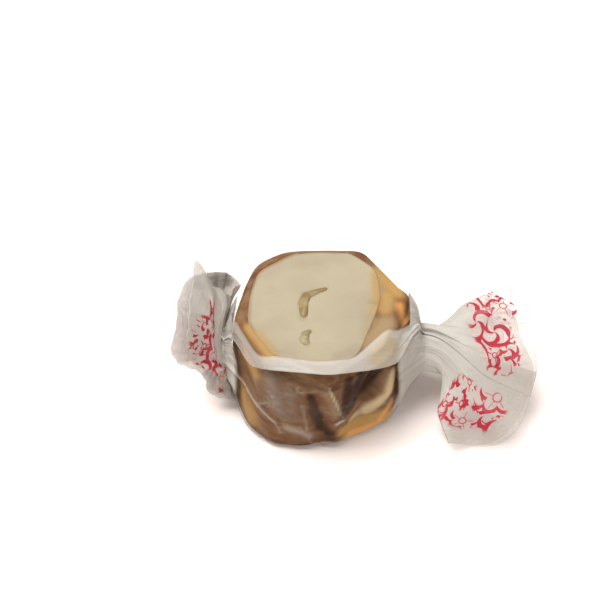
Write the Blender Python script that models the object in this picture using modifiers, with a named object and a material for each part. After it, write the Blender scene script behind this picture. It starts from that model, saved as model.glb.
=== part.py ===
"""A wrapped piece of pulled taffy.

A cream core with two caramel streaks runs through a caramel jacket. The piece stands on its lower cut
face in one sheet of waxed paper. The sheet is rolled round it with an overlap at the front, gathered
into a neck at each side and spread into two ruffled fans.

Metres, +Z up. The origin is the centre of the flat that the piece rests on, +X runs through the two
necks, and -Y is the front, where the loose edge of the paper lies.
"""

import math
from dataclasses import dataclass

import bmesh
import bpy
from mathutils import Vector

MM = 0.001

# Candy
CANDY_HEIGHT = 15.6 * MM
EDGE_ROUNDING = 1.3 * MM
BULGE = 0.35 * MM
TOUCH_GAP = 0.3 * MM
CUTTER_OVERRUN = 2 * MM
SHARP_ANGLE = 35
OUTLINE_CORNER = 24
SIDE_RADIUS = 12.3 * MM
OUTLINE_POINTS = 60
CANDY_LEVELS = 11

# Each flat of an outline: the bearing of its normal from +X in degrees, and its distance from the axis.
# The jacket has sagged towards the front left, so its foot has an outline of its own.
JACKET_FOOT = (
    (90, 12.8 * MM),
    (35, 12.4 * MM),
    (-17, 12.3 * MM),
    (-60, 12.2 * MM),
    (-90, 13.0 * MM),
    (-129, 14.2 * MM),
    (-157, 13.4 * MM),
    (-176, 12.6 * MM),
    (128, 12.6 * MM),
)
JACKET_TOP = (
    (90, 12.9 * MM),
    (35, 12.6 * MM),
    (-17, 11.7 * MM),
    (-56, 12.0 * MM),
    (-115, 11.7 * MM),
    (-151, 11.9 * MM),
    (166, 11.8 * MM),
    (124, 13.2 * MM),
)
CORE_FLATS = (
    (90, 11.8 * MM),
    (48, 11.5 * MM),
    (5, 8.9 * MM),
    (-18, 7.6 * MM),
    (-62, 9.9 * MM),
    (-103, 10.1 * MM),
    (-147, 10.1 * MM),
    (180, 10.3 * MM),
    (167, 10.5 * MM),
    (127, 11.5 * MM),
)

# Folds pressed into the side: bearing, height, depth, half width along the side, lean over the height
SIDE_FOLDS = (
    (-54, 8.6 * MM, 2.0 * MM, 2.1 * MM, 0.42),
    (-90, 4.6 * MM, 0.9 * MM, 1.1 * MM, 0.1),
    (-140, 7.0 * MM, 0.5 * MM, 1.6 * MM, -0.35),
    (62, 8.0 * MM, 0.8 * MM, 2.4 * MM, 0.3),
    (118, 6.5 * MM, 0.6 * MM, 1.8 * MM, -0.25),
)
FOLD_HALF_HEIGHT = 5.5 * MM

# Lumps of caramel that stand out of the side: bearing, height, how far, and half width
SIDE_LUMPS = (
    (0, 13.2 * MM, 0.9 * MM, 1.6 * MM),
    (20, 13.6 * MM, 0.5 * MM, 1.4 * MM),
)

# Streaks, as a centre line and a half width at each of its points
HOOK_LINE = ((1.1, 4.5, 0.2), (-0.4, 3.9, 0.36), (-1.9, 3.1, 0.6), (-2.4, 1.7, 0.62), (-2.3, -1.3, 0.46))
CRESCENT_LINE = ((-1.3, -3.7, 0.22), (-2.1, -4.4, 0.5), (-2.3, -5.5, 0.6), (-1.8, -6.5, 0.36))

# Waxed paper
PAPER = 0.2 * MM
PAPER_GAP = 0.4 * MM
SIDE_SLACK = 0.25 * MM
LAYER_GAP = 0.3 * MM
EDGE_BEARING = 150
OVERLAP_ANGLE = 18
LIFT_BLEND_ANGLE = 30
FLARE_ANGLE = 13
FLARE = 0.7 * MM
SHEET_COLUMNS = 58
RIM_BEARING = 33
RIM_SPREAD = 10
RIM_WEIGHT = 2.0
BODY_ROWS = 22
FAN_ROWS = 9
FLUTES = 7
FLUTE_DEPTH = 0.45 * MM
FLUTE_RIDGE = 0.25
FLUTE_RUN = 4.5 * MM
TAUT_STEP = 0.4 * MM
FAN_RUFFLES = 3.5
RUFFLE_GROWTH = 1.4
FOLD_CLOSING = 3
FAN_OPENING = 1.6
PUFF_BACK = 2.6 * MM


@dataclass(frozen=True)
class Fan:
    """One end of the sheet: its gathered neck, and the fan that spreads from it.

    Angles are in degrees. The fan's face is turned by its heading towards the front, lifted by its
    rise, and tipped by its roll, which brings its back edge up.
    """

    side: int  # 1 at +X and -1 at -X
    neck: float  # distance of the neck from the origin
    half_width: float  # the neck's section
    half_height: float
    twist: float  # turn of the sheet through the neck
    puff: float  # how far the paper stands out above the neck
    heading: float
    rise: float
    roll: float
    lean: float  # the mean ray
    spread: float  # from the mean ray to either edge
    reach: tuple  # length of its rays, from the front one to the back one
    overhang: float  # how much further the upper layer goes
    mouth: float  # half the gap at the open edge
    ruffle: float  # depth of the waves


RIGHT_FAN = Fan(
    side=1,
    neck=15.4 * MM,
    half_width=3.5 * MM,
    half_height=2.8 * MM,
    twist=-34,
    puff=1.9 * MM,
    heading=0,
    rise=0,
    roll=28,
    lean=-18,
    spread=58,
    reach=(15.6 * MM, 19.2 * MM, 17.6 * MM, 16.2 * MM, 14.2 * MM),
    overhang=0.3 * MM,
    mouth=1.5 * MM,
    ruffle=0.9 * MM,
)
LEFT_FAN = Fan(
    side=-1,
    neck=14.3 * MM,
    half_width=4.0 * MM,
    half_height=3.1 * MM,
    twist=75,
    puff=0.4 * MM,
    heading=48,
    rise=22,
    roll=60,
    lean=17,
    spread=99,
    reach=(8.6 * MM, 7.6 * MM, 6.4 * MM, 9.0 * MM, 11.0 * MM, 15.0 * MM, 8.6 * MM, 7.6 * MM),
    overhang=1.0 * MM,
    mouth=1.8 * MM,
    ruffle=0.6 * MM,
)

CANDY_FLOOR = PAPER + PAPER_GAP
AXIS_HEIGHT = CANDY_FLOOR + CANDY_HEIGHT / 2

CREAM = (0.78, 0.68, 0.50, 1.0)
CARAMEL = (0.42, 0.21, 0.075, 1.0)
STREAK = (0.50, 0.36, 0.13, 1.0)
WAXED_WHITE = (0.80, 0.78, 0.74, 1.0)


def smooth(value):
    """Eases a share from 0 to 1."""
    value = min(max(value, 0.0), 1.0)
    return value * value * (3 - 2 * value)


def material(name, colour, roughness):
    """A plain surface of one colour."""
    made = bpy.data.materials.new(name)
    made.use_nodes = True
    shader = made.node_tree.nodes["Principled BSDF"]
    shader.inputs["Base Color"].default_value = colour
    shader.inputs["Roughness"].default_value = roughness
    shader.inputs["Metallic"].default_value = 0.0
    return made


def outline_radius(angle, flats):
    """Distance from the candy's axis to an outline of flats with rounded corners."""
    total = 0.0
    for bearing, distance in flats:
        share = math.cos(angle - math.radians(bearing)) / distance
        total += max(share, 0.0) ** OUTLINE_CORNER
    return total ** (-1 / OUTLINE_CORNER)


def edge_inset(height):
    """How far the side stands in from its outline at a height above the candy's floor."""
    middle = abs(2 * height / CANDY_HEIGHT - 1)
    near = min(height, CANDY_HEIGHT - height, EDGE_ROUNDING)
    drop = EDGE_ROUNDING - near
    rounding = EDGE_ROUNDING - math.sqrt(max(EDGE_ROUNDING**2 - drop**2, 0.0))
    return rounding + BULGE * (middle**2 - 1)


def jacket_outline(angle, height):
    """Distance from the candy's axis to the jacket's outline, between its foot and its top."""
    share = height / CANDY_HEIGHT
    foot, top = outline_radius(angle, JACKET_FOOT), outline_radius(angle, JACKET_TOP)
    return foot + (top - foot) * share


def fold_depth(angle, height):
    """Depth of the folds pressed into the side."""
    depth = 0.0
    for bearing, level, deepest, half_width, lean in SIDE_FOLDS:
        rise = height - level
        turn = math.remainder(angle - math.radians(bearing), math.tau)
        along = turn * SIDE_RADIUS - lean * rise
        depth += deepest * math.exp(-((along / half_width) ** 2) - (rise / FOLD_HALF_HEIGHT) ** 2)
    return depth


def lump_height(angle, height):
    """How far the lumps of caramel stand out of the side."""
    lift = 0.0
    for bearing, level, highest, half_width in SIDE_LUMPS:
        along = math.remainder(angle - math.radians(bearing), math.tau) * SIDE_RADIUS
        away = math.hypot(along, height - level) / half_width
        lift += highest * math.exp(-(away**2))
    return lift


def jacket_radius(angle, height):
    """Distance from the candy's axis to the jacket's side, without its folds."""
    return jacket_outline(angle, height) - edge_inset(height) + lump_height(angle, height)


def drum(name, side_radius, floor, height, levels):
    """A closed drum whose side follows side_radius(angle, height above its floor)."""
    mesh = bpy.data.meshes.new(name)
    shape = bmesh.new()
    bmesh.ops.create_cone(
        shape, cap_ends=True, segments=OUTLINE_POINTS, radius1=1.0, radius2=1.0, depth=2.0
    )
    upright = [edge for edge in shape.edges if abs(edge.verts[0].co.z - edge.verts[1].co.z) > 1]
    bmesh.ops.subdivide_edges(shape, edges=upright, cuts=levels - 2)
    for vert in shape.verts:
        angle = math.atan2(vert.co.y, vert.co.x)
        above = height * (1 + math.sin(vert.co.z * math.pi / 2)) / 2
        radius = side_radius(angle, above)
        vert.co = Vector((radius * math.cos(angle), radius * math.sin(angle), floor + above))
    bmesh.ops.recalc_face_normals(shape, faces=shape.faces)
    shape.to_mesh(mesh)
    shape.free()
    return bpy.data.objects.new(name, mesh)


def streak(name, line, grow, floor, height):
    """An upright slab whose outline follows a line with a half width at each of its points."""
    points = [Vector((x * MM, y * MM)) for x, y, _ in line]
    halves = [half * MM + grow for _, _, half in line]
    sides = ([], [])
    for index, point in enumerate(points):
        before = points[max(index - 1, 0)]
        after = points[min(index + 1, len(points) - 1)]
        along = (after - before).normalized()
        across = Vector((-along.y, along.x)) * halves[index]
        sides[0].append(point + across)
        sides[1].append(point - across)
    first_tip = points[0] - (points[1] - points[0]).normalized() * halves[0]
    last_tip = points[-1] + (points[-1] - points[-2]).normalized() * halves[-1]
    outline = [first_tip, *sides[0], last_tip, *reversed(sides[1])]
    curve = bpy.data.curves.new(name, "CURVE")
    curve.dimensions = "2D"
    curve.fill_mode = "BOTH"
    curve.extrude = height / 2
    curve.resolution_u = 3
    spline = curve.splines.new("BEZIER")
    spline.bezier_points.add(len(outline) - 1)
    for knot, place in zip(spline.bezier_points, outline):
        knot.co = (place.x, place.y, 0)
        knot.handle_left_type = "AUTO"
        knot.handle_right_type = "AUTO"
    spline.use_cyclic_u = True
    drawn = bpy.data.objects.new(name + "_outline", curve)
    bpy.context.scene.collection.objects.link(drawn)
    bpy.context.view_layer.update()
    graph = bpy.context.evaluated_depsgraph_get()
    mesh = bpy.data.meshes.new_from_object(drawn.evaluated_get(graph))
    bpy.data.objects.remove(drawn)
    shape = bmesh.new()
    shape.from_mesh(mesh)
    bmesh.ops.remove_doubles(shape, verts=shape.verts, dist=0.001 * MM)
    bmesh.ops.translate(shape, verts=shape.verts, vec=(0, 0, floor + height / 2))
    bmesh.ops.recalc_face_normals(shape, faces=shape.faces)
    shape.to_mesh(mesh)
    shape.free()
    return bpy.data.objects.new(name, mesh)


def cut(target, cutter):
    """Cuts one closed shape out of another."""
    modifier = target.modifiers.new("cut " + cutter.name, "BOOLEAN")
    modifier.operation = "DIFFERENCE"
    modifier.object = cutter


def candy_reach(x, bearing):
    """Distance from the twist axis to the paper that lies on the candy, in the plane at x.

    The bearing runs from +Y over +Z. It is 0 where the plane misses the candy.
    """
    across, up = math.cos(bearing), math.sin(bearing)
    clear = PAPER + PAPER_GAP

    def inside(distance):
        y = across * distance
        height = up * distance + CANDY_HEIGHT / 2
        if not -clear <= height <= CANDY_HEIGHT + clear:
            return False
        level = min(max(height, 0.0), CANDY_HEIGHT)
        return math.hypot(x, y) <= jacket_radius(math.atan2(y, x), level) + clear + SIDE_SLACK

    if not inside(0):
        return 0.0
    low, high = 0.0, CANDY_HEIGHT + clear
    for _ in range(24):
        middle = (low + high) / 2
        low, high = (middle, high) if inside(middle) else (low, middle)
    return low


def section_radius(fan, bearing):
    """Radius of a gathered neck at a bearing, without its flutes."""
    return math.hypot(fan.half_width * math.cos(bearing), fan.half_height * math.sin(bearing))


def taut_line(bearing):
    """The paper's distance from the twist axis, drawn taut over the candy from neck to neck.

    Returns the corners of the taut line, each as its place along the axis and its distance from it.
    """
    start, end = -LEFT_FAN.neck, RIGHT_FAN.neck
    count = round((end - start) / TAUT_STEP)
    places = [(start, section_radius(LEFT_FAN, bearing))]
    for step in range(1, count):
        x = start + (end - start) * step / count
        places.append((x, candy_reach(x, bearing)))
    places.append((end, section_radius(RIGHT_FAN, bearing)))
    corners = []
    for place in places:
        while len(corners) > 1:
            (x0, r0), (x1, r1) = corners[-2:]
            if (r1 - r0) * (place[0] - x0) > (place[1] - r0) * (x1 - x0):
                break
            corners.pop()
        corners.append(place)
    return corners


def along_line(corners, x):
    """The height of a line of corners at x."""
    for (x0, r0), (x1, r1) in zip(corners, corners[1:]):
        if x <= x1:
            return r0 + (r1 - r0) * (x - x0) / (x1 - x0)
    return corners[-1][1]


def layer_lift(turned):
    """How far the sheet stands off the layer below it, by its turn from the loose edge."""
    past = (turned - math.radians(OVERLAP_ANGLE)) / math.radians(LIFT_BLEND_ANGLE)
    return (PAPER + LAYER_GAP) * (1 - smooth(past))


def edge_flare(turned, share):
    """How far the loose edge curls up, at a share of the way from the left neck to the right one."""
    near = max(1 - turned / math.radians(FLARE_ANGLE), 0.0)
    return FLARE * near**2 * math.sin(math.pi * min(max(share, 0.0), 1.0)) ** 0.5


def flute(turned, share):
    """The gathered folds that run out of each neck, sharp at their ridges."""
    wave = math.cos(FLUTES * turned) + FLUTE_RIDGE * math.cos(3 * FLUTES * turned)
    return FLUTE_DEPTH * share * wave


def body_point(x, bearing, turned, corners):
    """A point of the paper between the necks."""
    fan = RIGHT_FAN if x > 0 else LEFT_FAN
    near = smooth(1 - (fan.neck - abs(x)) / FLUTE_RUN)
    share = (x + LEFT_FAN.neck) / (LEFT_FAN.neck + RIGHT_FAN.neck)
    radius = along_line(corners, x) + layer_lift(turned) + edge_flare(turned, share) + flute(turned, near)
    bump = max(1 - abs(fan.neck - PUFF_BACK - abs(x)) / PUFF_BACK, 0.0)
    radius += fan.puff * smooth(bump) * max(math.sin(bearing), 0.0) ** 2
    z = AXIS_HEIGHT + radius * math.sin(bearing)
    return Vector((x, radius * math.cos(bearing), max(z, 0.0)))


def fan_axes(fan):
    """A fan's outward axis, its width axis towards the back, and its face's normal."""
    heading, rise, roll = (math.radians(angle) for angle in (fan.heading, fan.rise, fan.roll))
    ahead, aside = math.cos(heading), math.sin(heading)
    run, lift = math.cos(rise), math.sin(rise)
    out = Vector((fan.side * ahead * run, -aside * run, lift))
    level = Vector((fan.side * aside, ahead, 0))
    face = Vector((-fan.side * ahead * lift, aside * lift, run))
    width = level * math.cos(roll) + face * math.sin(roll)
    normal = face * math.cos(roll) - level * math.sin(roll)
    return out, width, normal


def ray_length(fan, across):
    """A fan's reach at a place across it, from -1 at its front ray to 1 at its back ray."""
    place = (across + 1) / 2 * (len(fan.reach) - 1)
    first = min(int(place), len(fan.reach) - 2)
    share = smooth(place - first)
    return fan.reach[first] * (1 - share) + fan.reach[first + 1] * share


def fan_point(fan, share, bearing, turned):
    """A point of a fan, at a share of the way from its neck to its open edge."""
    out, width, normal = fan_axes(fan)
    opened = smooth(share * FAN_OPENING)
    twist = math.radians(fan.twist)
    ring = math.remainder(bearing - math.radians(fan.roll) - twist, math.tau)
    across = 1 - 2 * abs(ring) / math.pi
    ray = math.radians(fan.lean + fan.spread * across)
    length = share * (ray_length(fan, across) + fan.overhang * math.sin(ring))
    neck = Vector((fan.side * fan.neck, 0, AXIS_HEIGHT))

    turn = bearing - twist * opened
    root_radius = section_radius(fan, turn) + layer_lift(turned) + flute(turned, 1 - opened)
    root = Vector((0, math.cos(turn), math.sin(turn))) * root_radius
    gathered = neck + root + out * length

    above = (fan.mouth * share + fan.half_height * (1 - share)) * math.sin(ring)
    closing = min(abs(math.sin(ring)) * FOLD_CLOSING, 1)
    above += math.copysign(layer_lift(turned) * closing, ring)
    above += fan.ruffle * share**RUFFLE_GROWTH * math.sin(FAN_RUFFLES * math.pi * across)
    spread = neck + (out * math.cos(ray) + width * math.sin(ray)) * length + normal * above
    spread += width * fan.half_width * math.cos(ring) * (1 - share)

    place = gathered.lerp(spread, opened)
    lowest = (layer_lift(turned) + 2 * PAPER + LAYER_GAP) * max(math.sin(ring), 0.0)
    place.z = max(place.z, lowest)
    return place


def column_turns():
    """The turn of each column of the sheet from its loose edge, closest together at the candy's rims."""
    whole = math.radians(360 + OVERLAP_ANGLE)
    steps = 20 * SHEET_COLUMNS
    sums = [0.0]
    for step in range(steps):
        bearing = math.radians(EDGE_BEARING) - whole * (step + 0.5) / steps
        weight = 1.0
        for rim in (RIM_BEARING, 180 - RIM_BEARING, -RIM_BEARING, RIM_BEARING - 180):
            away = math.degrees(math.remainder(bearing - math.radians(rim), math.tau)) / RIM_SPREAD
            weight += RIM_WEIGHT * math.exp(-(away**2))
        sums.append(sums[-1] + weight)
    turns = []
    for column in range(SHEET_COLUMNS + 1):
        wanted = sums[-1] * column / SHEET_COLUMNS
        after = next(index for index in range(1, steps + 1) if sums[index] >= wanted - 1e-9)
        share = (wanted - sums[after - 1]) / (sums[after] - sums[after - 1])
        turns.append(whole * (after - 1 + share) / steps)
    return turns


def wrapper(name):
    """The sheet, rolled round the candy, gathered at both ends and spread into fans."""
    rows = 2 * FAN_ROWS + BODY_ROWS
    bpy.ops.mesh.primitive_grid_add(x_subdivisions=rows, y_subdivisions=SHEET_COLUMNS, size=2)
    sheet = bpy.context.object
    sheet.name = name
    sheet.data.name = name
    middle = (RIGHT_FAN.neck - LEFT_FAN.neck) / 2
    half = (RIGHT_FAN.neck + LEFT_FAN.neck) / 2
    turns = column_turns()
    lines = [taut_line(math.radians(EDGE_BEARING) - turned) for turned in turns]
    for vert in sheet.data.vertices:
        row = round((vert.co.x + 1) / 2 * rows)
        column = round((vert.co.y + 1) / 2 * SHEET_COLUMNS)
        turned = turns[column]
        bearing = math.radians(EDGE_BEARING) - turned
        if row < FAN_ROWS:
            vert.co = fan_point(LEFT_FAN, 1 - row / FAN_ROWS, bearing, turned)
        elif row > FAN_ROWS + BODY_ROWS:
            vert.co = fan_point(RIGHT_FAN, (row - FAN_ROWS - BODY_ROWS) / FAN_ROWS, bearing, turned)
        else:
            along = 2 * (row - FAN_ROWS) / BODY_ROWS - 1
            x = middle + half * (along + math.sin(along * math.pi / 2)) / 2
            vert.co = body_point(x, bearing, turned, lines[column])
    thickness = sheet.modifiers.new("paper", "SOLIDIFY")
    thickness.thickness = PAPER
    thickness.offset = -1
    return sheet


def main():
    for old in list(bpy.data.objects):
        bpy.data.objects.remove(old)
    candy = bpy.data.collections.new("wrapped taffy")
    cutters = bpy.data.collections.new("cutters")
    bpy.context.scene.collection.children.link(candy)
    bpy.context.scene.collection.children.link(cutters)

    cream = material("cream taffy", CREAM, 0.5)
    caramel = material("caramel taffy", CARAMEL, 0.4)
    amber = material("caramel streak", STREAK, 0.4)
    waxed = material("waxed paper", WAXED_WHITE, 0.45)

    def jacket_side(angle, height):
        return jacket_radius(angle, height) - fold_depth(angle, height)

    def core_side(angle, height):
        return outline_radius(angle, CORE_FLATS)

    def core_hole(angle, height):
        return core_side(angle, height) + TOUCH_GAP

    jacket = drum("caramel_jacket", jacket_side, CANDY_FLOOR, CANDY_HEIGHT, CANDY_LEVELS)
    core = drum("cream_core", core_side, CANDY_FLOOR, CANDY_HEIGHT, 2)
    low, tall = CANDY_FLOOR - CUTTER_OVERRUN, CANDY_HEIGHT + 2 * CUTTER_OVERRUN
    hole = drum("core_cutter", core_hole, low, tall, 2)
    cut(jacket, hole)
    cutters.objects.link(hole)

    streaks = []
    for name, line in (("streak_hook", HOOK_LINE), ("streak_crescent", CRESCENT_LINE)):
        slot = streak(name + "_cutter", line, TOUCH_GAP, low, tall)
        cut(core, slot)
        cutters.objects.link(slot)
        streaks.append(streak(name, line, 0, CANDY_FLOOR, CANDY_HEIGHT))

    for piece, finish in ((jacket, caramel), (core, cream), (streaks[0], amber), (streaks[1], amber)):
        piece.data.materials.clear()
        piece.data.materials.append(finish)
        candy.objects.link(piece)
        piece.data.shade_smooth()
        piece.data.set_sharp_from_angle(angle=math.radians(SHARP_ANGLE))

    paper = wrapper("wax_wrapper")
    paper.data.materials.append(waxed)
    for holder in list(paper.users_collection):
        holder.objects.unlink(paper)
    candy.objects.link(paper)
    paper.data.shade_smooth()

    for cutter in cutters.objects:
        cutter.hide_render = True
        cutter.display_type = "WIRE"


main()
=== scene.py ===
"""Looks of a wrapped piece of pulled taffy.

The candy is a cream core with two amber streaks inside a caramel jacket. One sheet of waxed paper is
rolled round it: clear where it clings to the candy, white where it stands off it, gathered into a neck
at each side and spread into two printed fans.

Metres, +Z up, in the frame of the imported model: +X runs through the necks and -Y is the front.
"""

from __future__ import annotations

import logging
import math
from dataclasses import dataclass
from enum import Enum

import bpy
import numpy as np
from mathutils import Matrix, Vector


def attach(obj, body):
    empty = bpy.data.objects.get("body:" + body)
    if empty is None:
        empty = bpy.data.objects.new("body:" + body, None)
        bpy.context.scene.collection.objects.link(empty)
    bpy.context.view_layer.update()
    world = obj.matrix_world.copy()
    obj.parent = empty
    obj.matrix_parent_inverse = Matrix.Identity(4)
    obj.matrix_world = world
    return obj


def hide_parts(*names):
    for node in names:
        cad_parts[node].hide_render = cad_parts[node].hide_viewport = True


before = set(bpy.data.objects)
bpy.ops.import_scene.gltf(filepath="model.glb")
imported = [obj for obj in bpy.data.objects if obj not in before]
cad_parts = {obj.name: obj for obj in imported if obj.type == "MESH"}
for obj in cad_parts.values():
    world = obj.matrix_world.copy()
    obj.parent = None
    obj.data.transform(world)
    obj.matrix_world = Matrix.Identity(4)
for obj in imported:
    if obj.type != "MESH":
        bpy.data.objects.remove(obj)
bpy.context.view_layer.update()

LOG = logging.getLogger("wrapped_taffy")
MM = 0.001
# Radius at which the candy's side is unrolled, and the share of it that is taken for the cut face
SIDE_RADIUS = 12.8 * MM
FACE_SHARE = 0.86
# Units of a flat map in a metre of sheet
MAP_SCALE = 10

Colour = tuple[float, float, float, float]
Place = tuple[float, float, float]
Values = np.ndarray
Piece = bpy.types.Object
Material = bpy.types.Material
Tree = bpy.types.NodeTree
Node = bpy.types.Node
Socket = bpy.types.NodeSocket


def smooth(value: Values | float) -> Values:
    """Ease a share from 0 to 1."""
    share = np.clip(value, 0.0, 1.0)
    return share * share * (3 - 2 * share)


def wrapped(angle: Values) -> Values:
    """Bring an angle to within half a turn of 0."""
    return (angle + math.pi) % math.tau - math.pi


@dataclass(frozen=True)
class Stroke:
    """A soft mark on a piece, from one place to another, in millimetres.

    Attributes:
        start: where it begins.
        end: where it ends.
        width: distance from its middle at which it has faded to a third.
        strength: its value in the middle.
    """

    start: Place
    end: Place
    width: float
    strength: float = 1.0

    def mask(self, places: Values) -> Values:
        """Weigh how much of the mark covers each place.

        Args:
            places: one row of metres for each place.

        Returns:
            The mark's value at each place.
        """
        start, end = np.array(self.start) * MM, np.array(self.end) * MM
        run = end - start
        share = np.clip((places - start) @ run / max(run @ run, 1e-12), 0, 1)
        away = np.linalg.norm(places - start - share[:, None] * run, axis=1)
        return self.strength * np.exp(-((away / (self.width * MM)) ** 2))


def painted(strokes: tuple[Stroke, ...], places: Values) -> Values:
    """Lay strokes over each other, where the strongest shows.

    Args:
        strokes: the marks.
        places: one row of metres for each place.

    Returns:
        A value for each place.
    """
    return np.max([stroke.mask(places) for stroke in strokes], axis=0)


def side(bearing: float, height: float) -> Place:
    """Give a place on the candy's unrolled side, in millimetres round from the front and up."""
    return math.radians((bearing + 270) % 360 - 180) * SIDE_RADIUS / MM, height, 0.0


def unrolled(places: Values) -> Values:
    """Lay the candy's side out flat, as side() does.

    Args:
        places: one row of metres for each place.

    Returns:
        Places round from the front, up, and in from the side towards the middle of the face.
    """
    angle, radius = np.arctan2(places[:, 1], places[:, 0]), np.hypot(places[:, 0], places[:, 1])
    around = wrapped(angle + math.pi / 2) * SIDE_RADIUS
    return np.column_stack((around, places[:, 2], np.minimum(radius - FACE_SHARE * SIDE_RADIUS, 0)))


def face_strokes(*rows: tuple[float, ...]) -> tuple[Stroke, ...]:
    """Make strokes on the cut face.

    Args:
        *rows: three numbers each for the start and the end, then the width and the strength.

    Returns:
        The strokes.
    """
    return tuple(Stroke(row[:3], row[3:6], *row[6:]) for row in rows)


def side_strokes(*rows: tuple[float, ...]) -> tuple[Stroke, ...]:
    """Make strokes on the unrolled side.

    Args:
        *rows: bearing and height of the start and of the end, then the width and the strength.

    Returns:
        The strokes.
    """
    return tuple(Stroke(side(*row[:2]), side(*row[2:4]), *row[4:]) for row in rows)


def fan_strokes(*rows: tuple[float, ...]) -> tuple[Stroke, ...]:
    """Make strokes on a flat fan.

    Args:
        *rows: two numbers each for the start and the end, then the width and the strength.

    Returns:
        The strokes.
    """
    return tuple(Stroke((*row[:2], 0.0), (*row[2:4], 0.0), *row[4:]) for row in rows)


class Graph:
    """Adds nodes to one material or group, and joins them."""

    def __init__(self, tree: Tree) -> None:
        """Start on a node tree."""
        self.tree = tree

    def feed(self, socket: Socket, value: object) -> None:
        """Join a socket to another socket, or set its value.

        Args:
            socket: the input.
            value: an output socket, or a plain value.
        """
        if isinstance(value, Socket):
            self.tree.links.new(value, socket)
        else:
            socket.default_value = value

    def add(self, kind: str, inputs: dict[str | int, object] | None = None, **settings: object) -> Node:
        """Add a node.

        Args:
            kind: its type, without the ShaderNode in front.
            inputs: what feeds its inputs, by name or number.
            **settings: its own settings.

        Returns:
            The node.
        """
        node = self.tree.nodes.new("ShaderNode" + kind)
        for name, value in settings.items():
            setattr(node, name, value)
        for key, value in (inputs or {}).items():
            self.feed(node.inputs[key], value)
        return node

    def math(self, operation: str, *values: object) -> Socket:
        """Work out a sum of one to three values.

        Args:
            operation: the Math node's operation.
            *values: numbers or sockets.

        Returns:
            The result's socket.
        """
        node = self.add("Math", operation=operation)
        for socket, value in zip(node.inputs, values):
            self.feed(socket, value)
        return node.outputs[0]

    def times(self, first: object, second: object) -> Socket:
        """Multiply two values."""
        return self.math("MULTIPLY", first, second)

    def minus(self, first: object, second: object) -> Socket:
        """Take the second value from the first."""
        return self.math("SUBTRACT", first, second)

    def above(self, value: object, limit: object) -> Socket:
        """Give 1 where a value is above a limit, and 0 elsewhere."""
        return self.math("GREATER_THAN", value, limit)

    def vector(self, operation: str, first: object, second: object) -> Socket:
        """Work out a sum of two vectors."""
        return self.add("VectorMath", {0: first, 1: second}, operation=operation).outputs[0]

    def length(self, vector: object) -> Socket:
        """Measure a vector's length."""
        return self.add("VectorMath", {0: vector}, operation="LENGTH").outputs["Value"]

    def turned(self, vector: object, angle: object) -> Socket:
        """Turn a vector round the Z axis."""
        inputs = {"Vector": vector, "Angle": angle}
        return self.add("VectorRotate", inputs, rotation_type="Z_AXIS").outputs[0]

    def blend(self, share: object, first: object, second: object) -> Socket:
        """Mix two colours.

        Args:
            share: how much of the second there is.
            first: colour or socket.
            second: colour or socket.

        Returns:
            The mixed colour's socket.
        """
        node = self.add("Mix", data_type="RGBA")
        for index, value in ((0, share), (6, first), (7, second)):
            self.feed(node.inputs[index], value)
        return node.outputs[2]

    def ease(
        self, value: object, low: float, high: float, start: float = 0.0, end: float = 1.0
    ) -> Socket:
        """Ease from one value to another as a value passes from low to high.

        Args:
            value: the value.
            low: where the ease starts.
            high: where it ends.
            start: the result up to low.
            end: the result from high.

        Returns:
            The result's socket.
        """
        node = self.add("MapRange", interpolation_type="SMOOTHSTEP")
        for index, given in enumerate((value, low, high, start, end)):
            self.feed(node.inputs[index], given)
        return node.outputs[0]

    def attribute(self, name: str) -> Socket:
        """Read one of the piece's own values."""
        return self.add("Attribute", attribute_name=name).outputs["Fac"]

    def place(self) -> Socket:
        """Read the place on the piece, in metres."""
        return self.add("TexCoord").outputs["Object"]

    def noise(self, vector: object, scale: float, detail: float = 2.0, rough: float = 0.5) -> Socket:
        """Add a noise.

        Args:
            vector: where it is read.
            scale: its scale.
            detail: how many finer layers it has.
            rough: how strong they are.

        Returns:
            The noise's value socket.
        """
        inputs = {"Vector": vector, "Scale": scale, "Detail": detail, "Roughness": rough}
        return self.add("TexNoise", inputs).outputs[0]

    def stain(
        self,
        colour: object,
        tone: Colour,
        name: str,
        cloud: object,
        uneven: float,
        low: float,
        high: float,
    ) -> Socket:
        """Lay a tone over a colour where one of the piece's own values says so.

        Args:
            colour: the colour below.
            tone: the tone.
            name: the piece's value.
            cloud: a noise that breaks up the tone's edge.
            uneven: how much it does so.
            low: the value at which the tone starts.
            high: the value at which it is full.

        Returns:
            The mixed colour's socket.
        """
        share = self.math("MULTIPLY_ADD", self.minus(cloud, 0.5), uneven, self.attribute(name))
        return self.blend(self.ease(share, low, high), colour, tone)

    def bump(self, shader: Node, height: object, strength: float, distance: float) -> None:
        """Raise the surface.

        Args:
            shader: the material's shader.
            height: the height's socket.
            strength: how strong the effect is.
            distance: how far a height of 1 stands out.
        """
        node = self.add("Bump", {"Height": height, "Strength": strength, "Distance": distance})
        self.feed(shader.inputs["Normal"], node.outputs[0])


def new_group(name: str, inputs: dict[str, tuple[str, object]], outputs: dict[str, str]) -> Graph:
    """Start a node group.

    Args:
        name: the group's name.
        inputs: socket kind and default, by name.
        outputs: socket kind by name.

    Returns:
        A graph of the group, with its Group Input and Group Output nodes added first.
    """
    tree = bpy.data.node_groups.new(name, "ShaderNodeTree")
    for label, (kind, default) in inputs.items():
        socket = tree.interface.new_socket(label, in_out="INPUT", socket_type="NodeSocket" + kind)
        if default is not None:
            socket.default_value = default
    for label, kind in outputs.items():
        tree.interface.new_socket(label, in_out="OUTPUT", socket_type="NodeSocket" + kind)
    tree.nodes.new("NodeGroupInput")
    tree.nodes.new("NodeGroupOutput")
    return Graph(tree)


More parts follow.
